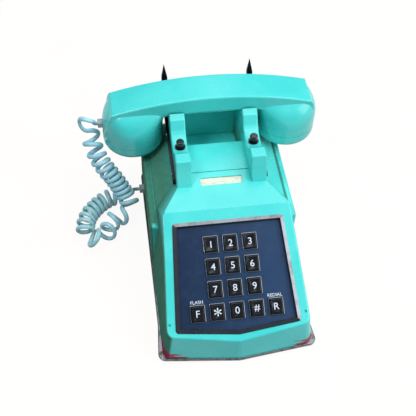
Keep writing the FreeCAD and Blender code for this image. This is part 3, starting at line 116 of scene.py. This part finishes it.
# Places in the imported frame, in metres
SLOPE = math.radians(31.2)
FIVE = Vector((0, -0.0593, 0.0613))
KEYPAD = Matrix.Translation(FIVE) @ Matrix.Rotation(SLOPE, 4, "X")
COLUMN, ROW = 17.5 * MM, 19.9 * MM
KEY_TOP = 3.4 * MM
KEY_WIDTH, KEY_LENGTH = 11.4 * MM, 13.4 * MM
KEY_ROOT = -2.3 * MM
KEY_TAPER = (0.94, 0.95, 1)
DISH_MARGIN, DISH_DEPTH = 1.5 * MM, 0.45 * MM
KEY_SOFTNESS = 0.7 * MM
SMOOTH_ANGLE = math.radians(50)
FIGURES = {
    "key_1": ("1", -1, 1), "key_2": ("2", 0, 1), "key_3": ("3", 1, 1),
    "key_4": ("4", -1, 0), "key_5": ("5", 0, 0), "key_6": ("6", 1, 0),
    "key_7": ("7", -1, -1), "key_8": ("8", 0, -1), "key_9": ("9", 1, -1),
    "key_flash": ("F", -2, -2), "key_star": ("*", -1, -2), "key_0": ("0", 0, -2),
    "key_hash": ("#", 1, -2), "key_redial": ("R", 2, -2),
}
STAR_SCALE = 1.9
LABELS = {"flash_label": ("FLASH", -2), "redial_label": ("REDIAL", 2)}
LABEL_ROW = -2
LABEL_GAP, LABEL_LIFT = 3.4 * MM, 0.05 * MM
FIGURE_SINK = 0.43 * MM
CAPITAL_SHARE = 0.7
STROKE_SWELL = 0.004
INK_DEPTH = 0.04 * MM


def add(tree, kind, inputs=None, **settings):
    """Add a node with its settings; an input is a value or another node's output."""
    made = tree.nodes.new(kind)
    for name, value in settings.items():
        setattr(made, name, value)
    for name, value in (inputs or {}).items():
        socket = made.inputs[name]
        if isinstance(value, bpy.types.NodeSocket):
            tree.links.new(value, socket)
        else:
            socket.default_value = value
    return made


def finish(name, **values):
    """A new material: its node tree, its shader with values set, and Object coordinates."""
    material = bpy.data.materials.new(name)
    material.use_nodes = True
    tree = material.node_tree
    shader = tree.nodes["Principled BSDF"]
    for socket, value in values.items():
        shader.inputs[socket.replace("_", " ")].default_value = value
    place = add(tree, "ShaderNodeTexCoord").outputs["Object"]
    return material, tree, shader, place


def rgba(colour):
    """A colour with full alpha."""
    return (*colour, 1.0)


def noise(tree, place, millimetres, detail=2.0, roughness=0.5):
    """A noise whose lumps are about a size in millimetres."""
    inputs = {"Vector": place, "Scale": 1 / (millimetres * MM), "Detail": detail, "Roughness": roughness}
    return add(tree, "ShaderNodeTexNoise", inputs).outputs["Fac"]


def ramp(tree, value, low, high, to_low=0.0, to_high=1.0):
    """A value mapped from one range to another and held inside it."""
    inputs = {"Value": value, "From Min": low, "From Max": high, "To Min": to_low, "To Max": to_high}
    return add(tree, "ShaderNodeMapRange", inputs).outputs["Result"]


def blend_colours(tree, share, first, second):
    """A mix of two colours; each is a value or an output."""
    mix = add(tree, "ShaderNodeMix", data_type="RGBA")
    for socket, value in ((mix.inputs[0], share), (mix.inputs[6], first), (mix.inputs[7], second)):
        if isinstance(value, bpy.types.NodeSocket):
            tree.links.new(value, socket)
        else:
            socket.default_value = value
    return mix.outputs[2]


def combine(tree, operation, first, second):
    """Two values put together by a sum, a product or the larger one; each is a number or an output."""
    return add(tree, "ShaderNodeMath", {0: first, 1: second}, operation=operation).outputs[0]


def times(tree, first, second):
    """The product of an output and another output or a number."""
    return combine(tree, "MULTIPLY", first, second)


def split_axes(tree, vector):
    """A vector's X, Y and Z, as outputs."""
    return add(tree, "ShaderNodeSeparateXYZ", {"Vector": vector}).outputs


def stretched(tree, place, scale):
    """Coordinates drawn out along an axis, so that a pattern on them runs along it."""
    return add(tree, "ShaderNodeMapping", {"Vector": place, "Scale": scale}).outputs["Vector"]


def tinted(tree, shader, share, first, second):
    """Colour a surface by a mix of two colours."""
    tree.links.new(blend_colours(tree, share, first, second), shader.inputs["Base Color"])


def polished(tree, shader, pattern, low, high, smooth, rough):
    """Vary a surface's roughness with a pattern, from smooth at low to rough at high."""
    tree.links.new(ramp(tree, pattern, low, high, smooth, rough), shader.inputs["Roughness"])


def tone(text):
    """A hex value as a colour with full alpha."""
    return rgba(hex_colour(text))


def bump(tree, shader, height, strength, depth):
    """Raise a surface by a height pattern; depth is in metres."""
    made = add(tree, "ShaderNodeBump", {"Height": height, "Strength": strength, "Distance": depth})
    tree.links.new(made.outputs["Normal"], shader.inputs["Normal"])


# The housing's painted shade and grime on the left flank and its red corner streaks, in metres
FLANK_SHADE_EDGE, FLANK_SHADE_FULL = -60 * MM, -63 * MM
FLANK_SHADE_BACK, FLANK_SHADE_BACK_FULL = -9 * MM, -6 * MM
FLANK_SHADE_TOP, FLANK_SHADE_DEEP = 100 * MM, 70 * MM
FLANK_SHADE_TURN, FLANK_SHADE_TURN_FULL = -0.1, -0.4
FLANK_SHADE_THIN, FLANK_SHADE_THICK = 0.84, 0.93
FLANK_SHADE_GLOSS, BARE_GLOSS = 0.08, 0.5
STREAK_START, STREAK_FULL = 42 * MM, 64 * MM
STREAK_BACK, STREAK_FRONT = -92 * MM, -100 * MM
STREAK_TOP, STREAK_FOOT = 18 * MM, 7 * MM
STREAK_COVER = 0.62
STREAK_EDGE, STREAK_SOLID = 0.80, 0.83
STREAK_THIN, STREAK_SURE = 0.02, 0.08


def moulded_abs(name, shaded_and_streaked=False):
    """Glossy turquoise ABS: a slightly mottled moulded skin, darkened in its corners by painted shade mixed
    with grime; where asked, with painted shade and grime on the left flank and red streaks on the front
    corners.
    """
    c = colours()
    material, tree, shader, place = finish(name, IOR=1.53)
    mottle = ramp(tree, noise(tree, place, 38, 3), 0.35, 0.65)
    colour = blend_colours(tree, mottle, rgba(c.shell), rgba(c.shell_deep))
    # Painted shade and grime: the shell darkens in patches where ambient occlusion finds corners and recesses
    corner = add(tree, "ShaderNodeAmbientOcclusion", {"Distance": 7 * MM}, samples=8).outputs["AO"]
    patchy = ramp(tree, noise(tree, place, 6, 4), 0.3, 0.7, 0.25, 0.9)
    shade_and_grime_mask = times(tree, ramp(tree, corner, 0.62, 0.2), patchy)
    colour = blend_colours(tree, shade_and_grime_mask, colour, rgba(c.shade_and_grime))
    rough = ramp(tree, noise(tree, place, 12, 4), 0.3, 0.7, 0.18, 0.3)
    if shaded_and_streaked:
        # Painted shade and grime darken and dull the left flank; red streaks go on the front corners
        flank_shade_and_grime = flank_shade_and_grime_mask(tree, place)
        colour = blend_colours(tree, flank_shade_and_grime, colour, rgba(c.flank_shade_and_grime))
        colour = blend_colours(tree, corner_streaks(tree, place), colour, rgba(c.streak))
        rough = combine(tree, "MAXIMUM", rough, flank_shade_and_grime)
        gloss = ramp(tree, flank_shade_and_grime, 0.0, 1.0, BARE_GLOSS, FLANK_SHADE_GLOSS)
        tree.links.new(gloss, shader.inputs["Specular IOR Level"])
    tree.links.new(colour, shader.inputs["Base Color"])
    tree.links.new(rough, shader.inputs["Roughness"])
    bump(tree, shader, noise(tree, place, 1.6, 2), 0.06, 0.4 * MM)
    return material


def flank_shade_and_grime_mask(tree, place):
    """A mask of the dull green painted shade and grime on the upright left flank and its side panel, streaked
    downward.
    """
    facing = split_axes(tree, add(tree, "ShaderNodeNewGeometry").outputs["Normal"])
    split = split_axes(tree, place)
    outer = ramp(tree, split["X"], FLANK_SHADE_EDGE, FLANK_SHADE_FULL)
    ledge = times(tree, outer, ramp(tree, split["Y"], FLANK_SHADE_BACK, FLANK_SHADE_BACK_FULL))
    turned = ramp(tree, facing["X"], FLANK_SHADE_TURN, FLANK_SHADE_TURN_FULL)
    left = combine(tree, "MAXIMUM", turned, ledge)
    low = ramp(tree, split["Z"], FLANK_SHADE_TOP, FLANK_SHADE_DEEP)
    drawn = stretched(tree, place, (1.0, 1.0, 0.15))
    runs = ramp(tree, noise(tree, drawn, 5, 3), 0.3, 0.7, FLANK_SHADE_THIN, FLANK_SHADE_THICK)
    return times(tree, times(tree, left, low), runs)


def corner_streaks(tree, place):
    """A mask of the two plain streaked patches low on the front corners."""
    split = split_axes(tree, place)
    side = add(tree, "ShaderNodeMath", {0: split["X"]}, operation="ABSOLUTE").outputs[0]
    outward = ramp(tree, side, STREAK_START, STREAK_FULL)
    forward = ramp(tree, split["Y"], STREAK_BACK, STREAK_FRONT)
    low = ramp(tree, split["Z"], STREAK_TOP, STREAK_FOOT)
    tongues = noise(tree, stretched(tree, place, (0.2, 0.2, 1.0)), 3.2, 1.0, 0.4)
    cover = times(tree, times(tree, times(tree, outward, forward), low), STREAK_COVER)
    total = combine(tree, "ADD", tongues, cover)
    painted = ramp(tree, total, STREAK_EDGE, STREAK_SOLID)
    return times(tree, painted, ramp(tree, cover, STREAK_THIN, STREAK_SURE))


def gloss_panel():
    """Navy acrylic sheet: polished, with a painted sheen that makes it paler to the right, with faint dust
    and fine rubbing.
    """
    c = colours()
    material, tree, shader, place = finish("navy_acrylic_panel", IOR=1.49)
    # Painted sheen: the panel turns paler to the right, where the light falls
    across = ramp(tree, split_axes(tree, place)["X"], -48 * MM, 52 * MM)
    sheen_tint = blend_colours(tree, across, rgba(c.panel), tone("#2A4568"))
    dust = ramp(tree, noise(tree, place, 9, 6, 0.6), 0.5, 0.8, 0.0, 0.25)
    tinted(tree, shader, dust, sheen_tint, tone("#35507A"))
    polished(tree, shader, noise(tree, place, 5, 4), 0.3, 0.7, 0.16, 0.26)
    bump(tree, shader, noise(tree, place, 2, 2), 0.03, 0.3 * MM)
    return material


def gloss_black():
    """Black ABS, moulded glossy, with paler worn patches."""
    c = colours()
    material, tree, shader, place = finish("black_gloss_abs", IOR=1.53)
    wear = ramp(tree, noise(tree, place, 7, 4), 0.4, 0.75, 0.0, 0.4)
    tinted(tree, shader, wear, rgba(c.key), tone("#24272D"))
    polished(tree, shader, noise(tree, place, 3, 3), 0.3, 0.7, 0.1, 0.18)
    bump(tree, shader, noise(tree, place, 1.2, 2), 0.04, 0.2 * MM)
    return material


def plated_trim():
    """Aged chrome plating: a dark mirror, hazed and tarnished in patches."""
    c = colours()
    material, tree, shader, place = finish("chrome_plating", Metallic=1.0)
    haze = noise(tree, place, 8, 5, 0.6)
    tinted(tree, shader, ramp(tree, haze, 0.45, 0.75), rgba(c.trim), tone("#64615C"))
    polished(tree, shader, haze, 0.3, 0.75, 0.08, 0.2)
    bump(tree, shader, noise(tree, place, 9, 2), 0.04, 0.3 * MM)
    return material


def satin_metal(name, bright, dark, rough):
    """A rolled or turned metal with fine streaks along X."""
    material, tree, shader, place = finish(name, Metallic=1.0)
    streak = noise(tree, stretched(tree, place, (0.08, 1.0, 1.0)), 0.7, 3)
    tinted(tree, shader, streak, tone(bright), tone(dark))
    polished(tree, shader, streak, 0.3, 0.7, rough - 0.06, rough + 0.08)
    return material


def rim_plate():
    """Plated steel of the base plate's rim, dulled and stained in patches."""
    c = colours()
    material, tree, shader, place = finish("plated_steel_rim", Metallic=1.0)
    stain = ramp(tree, noise(tree, place, 6, 5, 0.65), 0.5, 0.7)
    tinted(tree, shader, stain, rgba(c.rim), tone("#4A4842"))
    polished(tree, shader, stain, 0.0, 1.0, 0.22, 0.4)
    bump(tree, shader, noise(tree, place, 1.5, 2), 0.05, 0.3 * MM)
    return material


def two_tone(name, plain, dark, lump, rough):
    """A plain moulded or printed surface with small lumps of a second tone."""
    material, tree, shader, place = finish(name, Roughness=rough, IOR=1.5)
    tinted(tree, shader, ramp(tree, noise(tree, place, lump, 4), 0.4, 0.7), tone(plain), tone(dark))
    bump(tree, shader, noise(tree, place, lump / 3, 2), 0.08, 0.2 * MM)
    return material


def number_card():
    """Matt cream card with brown smudges."""
    c = colours()
    material, tree, shader, place = finish("cream_card_stock", Roughness=0.8)
    smudge = ramp(tree, noise(tree, place, 4, 4), 0.5, 0.75, 0.0, 0.6)
    tinted(tree, shader, smudge, rgba(c.card), tone("#B9B09A"))
    return material


def clear_window():
    """Clear acrylic window: the card shows through it, under a thin gloss, hazed in patches."""
    material, tree, shader, place = finish("clear_acrylic", IOR=1.49, Alpha=0.08)
    haze = noise(tree, place, 3, 4)
    tinted(tree, shader, haze, tone("#F4F6EE"), tone("#DDE3D8"))
    polished(tree, shader, haze, 0.3, 0.8, 0.04, 0.2)
    return material


def cord_vinyl():
    """Soft vinyl: bluer near the handset, greener where it lies on the table, soiled in patches."""
    c = colours()
    material, tree, shader, place = finish("curly_cord_vinyl", IOR=1.52)
    along = add(tree, "ShaderNodeAttribute", attribute_name="along").outputs["Fac"]
    colour = blend_colours(tree, ramp(tree, along, 0.15, 0.75), rgba(c.cord_high), rgba(c.cord_low))
    soil = ramp(tree, noise(tree, place, 5, 5, 0.6), 0.5, 0.8, 0.0, 0.5)
    tinted(tree, shader, soil, colour, tone("#7FA3A2"))
    polished(tree, shader, noise(tree, place, 3, 3), 0.3, 0.7, 0.28, 0.44)
    bump(tree, shader, noise(tree, place, 0.9, 2), 0.05, 0.2 * MM)
    return material


def print_ink():
    """Pale print on the keys, a little rubbed."""
    c = colours()
    material, tree, shader, place = finish("pale_figure_print", Roughness=0.4)
    rub = ramp(tree, noise(tree, place, 2.5, 4), 0.5, 0.75, 0.0, 0.5)
    tinted(tree, shader, rub, rgba(c.figure), tone("#A9B6C4"))
    return material


def slot_finishes():
    """The finish of each of the record's material slots."""
    return {
        "turquoise_shell": moulded_abs("turquoise_moulded_abs"),
        "cream_plate": rim_plate(),
        "black_rubber": two_tone("black_rubber", "#141414", "#1E1E1E", 2, 0.75),
        "chrome_trim": plated_trim(),
        "blackened_steel": satin_metal("blackened_bright_steel", "#3A4047", "#15181C", 0.3),
        "silver_frame": satin_metal("satin_silver_frame", "#9EA3A8", "#6C7176", 0.16),
        "navy_face": gloss_panel(),
        "black_gloss": gloss_black(),
        "black_plastic": two_tone("black_matt_abs", "#18191B", "#232426", 3, 0.5),
        "clear_window": clear_window(),
        "cream_card": number_card(),
        "steel": satin_metal("zinc_plated_steel", "#B4B3AE", "#85847F", 0.34),
        "board_green": two_tone("green_solder_resist", "#1E5A34", "#174829", 4, 0.4),
        "copper_coil": satin_metal("enamelled_copper_wire", "#B8703C", "#7C4423", 0.3),
        "bell_brass": satin_metal("polished_bell_brass", "#D2AC5A", "#A07C34", 0.24),
        "pale_cord": cord_vinyl(),
        "clear_plug": two_tone("clear_plug_plastic", "#B9C4C6", "#98A5A8", 3, 0.25),
    }


def deselect():
    """Leave nothing selected, in object mode."""
    if bpy.context.object and bpy.context.object.mode != "OBJECT":
        bpy.ops.object.mode_set(mode="OBJECT")
    bpy.ops.object.select_all(action="DESELECT")


def settle(piece, matrix):
    """Put a piece in place and move that place into its mesh."""
    deselect()
    piece.select_set(True)
    bpy.context.view_layer.objects.active = piece
    piece.matrix_world = matrix
    bpy.ops.object.transform_apply(location=True, rotation=True, scale=True)


def apply_modifiers(piece):
    """Apply every modifier of a piece."""
    bpy.context.view_layer.objects.active = piece
    for modifier in list(piece.modifiers):
        bpy.ops.object.modifier_apply(modifier=modifier.name)


class TELEPHONE_OT_finishes(bpy.types.Operator):
    """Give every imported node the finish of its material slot"""
    bl_idname = "telephone.finishes"
    bl_label = "Finishes"

    def execute(self, context):
        finishes = slot_finishes()
        # The housing's finish carries the painted shade and grime of the left flank
        shaded_and_streaked = moulded_abs("shaded_streaked_turquoise_abs", shaded_and_streaked=True)
        for entry in frame["record"]["subparts"]:
            node = frame["nodes"][entry["node"]]
            node.data.materials.clear()
            finish_of_node = shaded_and_streaked if entry["node"] == "housing" else finishes[entry["material_slot"]]
            node.data.materials.append(finish_of_node)
        return {"FINISHED"}


def key_place(column, row):
    """Where a key stands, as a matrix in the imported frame."""
    return KEYPAD @ Matrix.Translation((column * COLUMN, row * ROW, 0))


def model_key():
    """One key cap, standing on the faceplate at the origin: soft edges and a dished top."""
    deselect()
    bpy.ops.mesh.primitive_cube_add(size=1, location=(0, 0, (KEY_TOP + KEY_ROOT) / 2))
    cap = bpy.context.object
    cap.dimensions = (KEY_WIDTH, KEY_LENGTH, KEY_TOP - KEY_ROOT)
    bpy.ops.object.transform_apply(location=True, rotation=True, scale=True)
    bpy.ops.object.mode_set(mode="EDIT")
    bpy.ops.mesh.select_all(action="DESELECT")
    bpy.ops.object.mode_set(mode="OBJECT")
    for face in cap.data.polygons:
        face.select = face.normal.z > 0.9
    bpy.ops.object.mode_set(mode="EDIT")
    bpy.ops.mesh.select_mode(type="FACE")
    bpy.ops.transform.resize(value=KEY_TAPER)
    bpy.ops.mesh.inset(thickness=DISH_MARGIN, depth=-DISH_DEPTH)
    bpy.ops.object.mode_set(mode="OBJECT")
    soften = cap.modifiers.new("soft_edges", "BEVEL")
    soften.width = KEY_SOFTNESS
    soften.segments = 4
    apply_modifiers(cap)
    bpy.ops.object.shade_smooth_by_angle(angle=SMOOTH_ANGLE)
    return cap


class TELEPHONE_OT_keys(bpy.types.Operator):
    """Model the dished key caps"""
    bl_idname = "telephone.keys"
    bl_label = "Keys"

    def execute(self, context):
        first = model_key()
        first.data.materials.append(frame["nodes"]["key_5"].data.materials[0])
        for node, (_, column, row) in FIGURES.items():
            cap = first.copy()
            cap.data = first.data.copy()
            cap.name = node.replace("key_", "cap_")
            context.collection.objects.link(cap)
            settle(cap, key_place(column, row))
            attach(cap, node)
            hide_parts(node)
        bpy.data.objects.remove(first)
        return {"FINISHED"}


def lettering(name, text, height, matrix, ink):
    """Thin raised lettering, centred on a place."""
    deselect()
    bpy.ops.object.text_add()
    piece = bpy.context.object
    piece.name = name
    piece.data.body = text
    piece.data.align_x = "CENTER"
    piece.data.align_y = "CENTER"
    piece.data.size = height / CAPITAL_SHARE
    piece.data.offset = STROKE_SWELL * height
    piece.data.extrude = INK_DEPTH
    piece.data.resolution_u = 6
    bpy.ops.object.convert(target="MESH")
    piece = bpy.context.object
    piece.data.name = name
    middle = sum((Vector(c) for c in piece.bound_box), Vector()) / 8
    settle(piece, matrix @ Matrix.Translation((-middle.x, -middle.y, 0)))
    piece.data.materials.clear()
    piece.data.materials.append(ink)
    return piece


class TELEPHONE_OT_figures(bpy.types.Operator):
    """Print the figures on the keys and the two small words beside them"""
    bl_idname = "telephone.figures"
    bl_label = "Figures"

    def execute(self, context):
        ink = print_ink()
        top = Matrix.Translation((0, 0, KEY_TOP - FIGURE_SINK))
        for node, (text, column, row) in FIGURES.items():
            name = node.replace("key_", "figure_")
            height = sizes().figure_height * (STAR_SCALE if text == "*" else 1)
            piece = lettering(name, text, height, key_place(column, row) @ top, ink)
            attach(piece, node)
        above = Matrix.Translation((0, KEY_LENGTH / 2 + LABEL_GAP, LABEL_LIFT))
        for name, (text, column) in LABELS.items():
            piece = lettering(name, text, sizes().label_height, key_place(column, LABEL_ROW) @ above, ink)
            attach(piece, "base")
        return {"FINISHED"}


# The cord's route, as in the part's source, in metres
HANDSET_PLUG = Vector((-0.1084, 0.0937, 0.0973))
JACK_PLUG = Vector((-0.073, 0.0745, 0.018))
COIL_FLOOR = 0.0109
ROUTE = [
    HANDSET_PLUG,
    HANDSET_PLUG + Vector((-0.002, 0, 0)),
    HANDSET_PLUG + Vector((-0.004, 0, 0)),
    HANDSET_PLUG + Vector((-0.009, 0.0005, 0.004)),
    HANDSET_PLUG + Vector((-0.0095, 0.006, -0.002)),
    HANDSET_PLUG + Vector((-0.0095, 0.0085, -0.010)),
    Vector((-0.1165, 0.097, 0.0795)),
    Vector((-0.115, 0.085, 0.073)),
    Vector((-0.1075, 0.074, 0.059)),
    Vector((-0.097, 0.0675, 0.045)),
    Vector((-0.0895, 0.0605, 0.032)),
    Vector((-0.0825, 0.053, 0.020)),
    Vector((-0.0885, 0.047, 0.0115)),
    Vector((-0.099, 0.046, COIL_FLOOR)),
    Vector((-0.1055, 0.0385, COIL_FLOOR)),
    Vector((-0.108, 0.028, COIL_FLOOR)),
    Vector((-0.119, 0.0195, COIL_FLOOR)),
    Vector((-0.130, 0.0265, COIL_FLOOR)),
    Vector((-0.1305, 0.039, COIL_FLOOR)),
    Vector((-0.1265, 0.0515, COIL_FLOOR)),
    Vector((-0.118, 0.062, COIL_FLOOR)),
    Vector((-0.1065, 0.0715, COIL_FLOOR)),
    Vector((JACK_PLUG.x - 0.017, JACK_PLUG.y, COIL_FLOOR)),
    JACK_PLUG + Vector((-0.006, 0, 0)),
    JACK_PLUG + Vector((-0.003, 0, 0)),
    JACK_PLUG,
]
CORD_LEAD, CORD_START = 0.002, 0.008
CORD_TAIL, CORD_RAMP = 0.016, 0.016
CURL_REACH, MOST_BEND = 0.0096, 0.75
CURL_STRETCH, CURL_STRETCH_REACH = 1.6, 0.045
ROUTE_STEP = 0.00014
ROUTE_FINENESS = 64
RING_SIDES = 14


def smooth_route():
    """Points read off the route's NURBS spline, an even short step apart."""
    curve = bpy.data.curves.new("cord_route", "CURVE")
    curve.dimensions = "3D"
    curve.resolution_u = ROUTE_FINENESS
    spline = curve.splines.new("NURBS")
    spline.points.add(len(ROUTE) - 1)
    for point, place in zip(spline.points, ROUTE):
        point.co = (*place, 1)
    spline.order_u = 3
    spline.use_endpoint_u = True
    holder = bpy.data.objects.new("cord_route", curve)
    bpy.context.collection.objects.link(holder)
    bpy.context.view_layer.update()
    mesh = bpy.data.meshes.new_from_object(holder.evaluated_get(bpy.context.evaluated_depsgraph_get()))
    read = [v.co.copy() for v in mesh.vertices]
    bpy.data.objects.remove(holder)
    bpy.data.meshes.remove(mesh)
    return evenly(read, ROUTE_STEP)


def evenly(points, step):
    """A line's points again, each a step further along it."""
    spaced, left = [points[0]], step
    for start, end in zip(points, points[1:]):
        length = (end - start).length
        gone = left
        while gone <= length:
            spaced.append(start.lerp(end, gone / length))
            gone += step
        left = gone - length
    spaced.append(points[-1])
    return spaced


def ease(share):
    """A smooth ramp from 0 to 1."""
    share = min(max(share, 0.0), 1.0)
    return share * share * (3 - 2 * share)


def averaged(values, reach):
    """Numbers smoothed over a reach to each side."""
    count = len(values)
    spans = [(max(i - reach, 0), min(i + reach + 1, count)) for i in range(count)]
    return [sum(values[low:high]) / (high - low) for low, high in spans]


def curly_line():
    """The cord's rings round its route: each one's middle, the coil's heading and how far it has swelled."""
    axis = smooth_route()
    last = len(axis) - 1
    along = [(axis[min(i + 1, last)] - axis[max(i - 1, 0)]).normalized() for i in range(last + 1)]
    turned = [(along[min(i + 1, last)] - along[max(i - 1, 0)]).length for i in range(last + 1)]
    bend = averaged([angle / (2 * ROUTE_STEP) for angle in turned], int(sizes().curl_radius / ROUTE_STEP))
    total = ROUTE_STEP * last
    side = along[0].cross(Vector((0, 0, 1))).normalized()
    turns, rings = 0.0, []
    for i, point in enumerate(axis):
        gone = i * ROUTE_STEP
        swell = ease((gone - CORD_LEAD) / CORD_START) * ease((total - CORD_TAIL - gone) / CORD_RAMP)
        side = (side - along[i] * side.dot(along[i])).normalized()
        other = along[i].cross(side)
        angle = 2 * math.pi * turns
        out = side * math.cos(angle) - other * math.sin(angle)
        rings.append((point + out * sizes().curl_radius * swell, along[i], swell))
        pull = 1 + CURL_STRETCH * math.exp(-(gone / CURL_STRETCH_REACH) ** 2)
        pitch = sizes().curl_spacing * pull / (1 - min(CURL_REACH * bend[i], MOST_BEND))
        turns += ROUTE_STEP / (pitch * swell + CORD_RAMP * (1 - swell))
    return rings


def ring_reach(outward, flat, swell):
    """How far an oval ring reaches in a direction; it is round where the coil has not swelled."""
    wide, thick = sizes().cord_width / 2, sizes().cord_thickness / 2
    wide = thick + (wide - thick) * swell
    share = outward.dot(flat) ** 2 if flat.length > 0 else 0.0
    return 1 / math.sqrt(share / wide ** 2 + (1 - share) / thick ** 2)


def tube(name, rings):
    """A closed oval tube through the rings, with how far along it each ring lies."""
    line = [ring[0] for ring in rings]
    last = len(line) - 1
    side = (line[1] - line[0]).cross(Vector((0, 0, 1))).normalized()
    corners, faces, shares = [], [], []
    for i, (point, along, swell) in enumerate(rings):
        heading = (line[min(i + 1, last)] - line[max(i - 1, 0)]).normalized()
        side = (side - heading * side.dot(heading)).normalized()
        other = heading.cross(side)
        flat = (along - heading * along.dot(heading)).normalized()
        for k in range(RING_SIDES):
            turn = 2 * math.pi * k / RING_SIDES
            outward = side * math.cos(turn) + other * math.sin(turn)
            corners.append(point + outward * ring_reach(outward, flat, swell))
            shares.append(i / last)
    for i in range(last):
        for k in range(RING_SIDES):
            a, b = i * RING_SIDES + k, i * RING_SIDES + (k + 1) % RING_SIDES
            faces.append((a, b, b + RING_SIDES, a + RING_SIDES))
    faces.append(tuple(reversed(range(RING_SIDES))))
    faces.append(tuple(range(last * RING_SIDES, (last + 1) * RING_SIDES)))
    mesh = bpy.data.meshes.new(name)
    mesh.from_pydata(corners, [], faces)
    mesh.attributes.new("along", "FLOAT", "POINT").data.foreach_set("value", shares)
    mesh.shade_smooth()
    piece = bpy.data.objects.new(name, mesh)
    bpy.context.collection.objects.link(piece)
    return piece


class TELEPHONE_OT_cord(bpy.types.Operator):
    """Wind the curly cord from the handset to the jack in the left side"""
    bl_idname = "telephone.cord"
    bl_label = "Curly cord"

    def execute(self, context):
        rings = curly_line()
        piece = tube("curly_cord", rings)
        piece.data.materials.append(frame["nodes"]["handset_cord"].data.materials[0])
        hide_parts("handset_cord")
        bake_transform(piece)
        return {"FINISHED"}


# The camera stands where the photograph was taken from
CAMERA_PLACE = Vector((-0.0921, -0.4434, 0.6336))
CAMERA_AIM = Vector((-0.0213, -0.0420, 0.1240))
CAMERA_ROLL = math.radians(2.7)
CAMERA_LENS, CAMERA_SENSOR = 67.6, 36
CAMERA_NEAR = 0.01
LAMP_AIM = Vector((0, 0, 0.05))
LAMPS = {
    "soft_top": (Vector((0.3, 0.3, 1.5)), 1.5, 14),
    "soft_right": (Vector((1.1, -0.6, 0.8)), 1.2, 13),
    "soft_left": (Vector((-0.7, -0.45, 1.4)), 0.4, 8),
}
FLOOR_SIZE, FLOOR_DROP = 40, 0.0002
FLOOR_WHITE = 0.93


def studio_light(name, place, width, energy):
    """A soft square lamp turned to the telephone; its width is in metres and its energy in watts."""
    lamp = bpy.data.lights.new(name, "AREA")
    lamp.size = width
    lamp.energy = energy
    holder = bpy.data.objects.new(name, lamp)
    holder.location = place
    holder.rotation_euler = (LAMP_AIM - place).to_track_quat("-Z", "Y").to_euler()
    bpy.context.collection.objects.link(holder)


def studio_world():
    """A dim cool surround, so that the plated metal has dark and light sides."""
    world = bpy.data.worlds.new("studio_surround")
    bpy.context.scene.world = world
    world.use_nodes = True
    shade = world.node_tree.nodes["Background"]
    shade.inputs["Color"].default_value = tone("#707C88")
    shade.inputs["Strength"].default_value = 1.0


def studio_floor():
    """A wide table top: brown to the light, white to the camera and reflections, with a soft shadow."""
    deselect()
    bpy.ops.mesh.primitive_plane_add(size=FLOOR_SIZE, location=(0, 0, -FLOOR_DROP))
    floor = bpy.context.object
    floor.name = "studio_floor"
    material, tree, shader, place = finish("brown_table_top", Roughness=0.95)
    speck = ramp(tree, noise(tree, place, 90, 2), 0.3, 0.7)
    tinted(tree, shader, speck, tone("#4E4439"), tone("#463D33"))
    path = add(tree, "ShaderNodeLightPath").outputs
    seen = combine(tree, "MAXIMUM", path["Is Camera Ray"], path["Is Glossy Ray"])
    seen = combine(tree, "MAXIMUM", seen, path["Is Transmission Ray"])
    tree.links.new(times(tree, seen, FLOOR_WHITE), shader.inputs["Emission Strength"])
    shader.inputs["Emission Color"].default_value = tone("#FFFFFF")
    floor.data.materials.append(material)


class TELEPHONE_OT_stage(bpy.types.Operator):
    """Set up the table, the soft light and the camera"""
    bl_idname = "telephone.stage"
    bl_label = "Stage"

    def execute(self, context):
        context.scene.view_settings.view_transform = "Standard"
        studio_world()
        studio_floor()
        for name, (place, width, energy) in LAMPS.items():
            studio_light(name, place, width, energy)
        camera = bpy.data.objects.new("photo_camera", bpy.data.cameras.new("photo_camera"))
        context.collection.objects.link(camera)
        camera.data.lens = CAMERA_LENS
        camera.data.sensor_width = CAMERA_SENSOR
        camera.data.clip_start = CAMERA_NEAR
        turn = (CAMERA_AIM - CAMERA_PLACE).to_track_quat("-Z", "Y").to_matrix().to_4x4()
        camera.matrix_world = Matrix.Translation(CAMERA_PLACE) @ turn @ Matrix.Rotation(CAMERA_ROLL, 4, "Z")
        context.scene.camera = camera
        return {"FINISHED"}


STEPS = (
    TELEPHONE_OT_finishes,
    TELEPHONE_OT_keys,
    TELEPHONE_OT_figures,
    TELEPHONE_OT_cord,
    TELEPHONE_OT_stage,
)


class TELEPHONE_PT_panel(bpy.types.Panel):
    """The telephone's steps and settings"""
    bl_idname = "TELEPHONE_PT_panel"
    bl_label = "Desk telephone"
    bl_space_type = "VIEW_3D"
    bl_region_type = "UI"
    bl_category = "Telephone"

    def draw(self, context):
        for step in STEPS:
            self.layout.operator(step.bl_idname)
        for settings in (context.scene.telephone_colours, context.scene.telephone_sizes):
            for name in settings.__annotations__:
                self.layout.prop(settings, name)


CLASSES = (TelephoneColours, TelephoneSizes, *STEPS, TELEPHONE_PT_panel)


def register():
    """Register the classes and the scene's settings."""
    for cls in CLASSES:
        bpy.utils.register_class(cls)
    bpy.types.Scene.telephone_colours = bpy.props.PointerProperty(type=TelephoneColours)
    bpy.types.Scene.telephone_sizes = bpy.props.PointerProperty(type=TelephoneSizes)


def unregister():
    """Remove the settings and the classes."""
    del bpy.types.Scene.telephone_sizes
    del bpy.types.Scene.telephone_colours
    for cls in reversed(CLASSES):
        bpy.utils.unregister_class(cls)


def main():
    """Run every step in order."""
    register()
    bpy.ops.telephone.finishes()
    bpy.ops.telephone.keys()
    bpy.ops.telephone.figures()
    bpy.ops.telephone.cord()
    bpy.ops.telephone.stage()


if __name__ == "__main__":
    main()
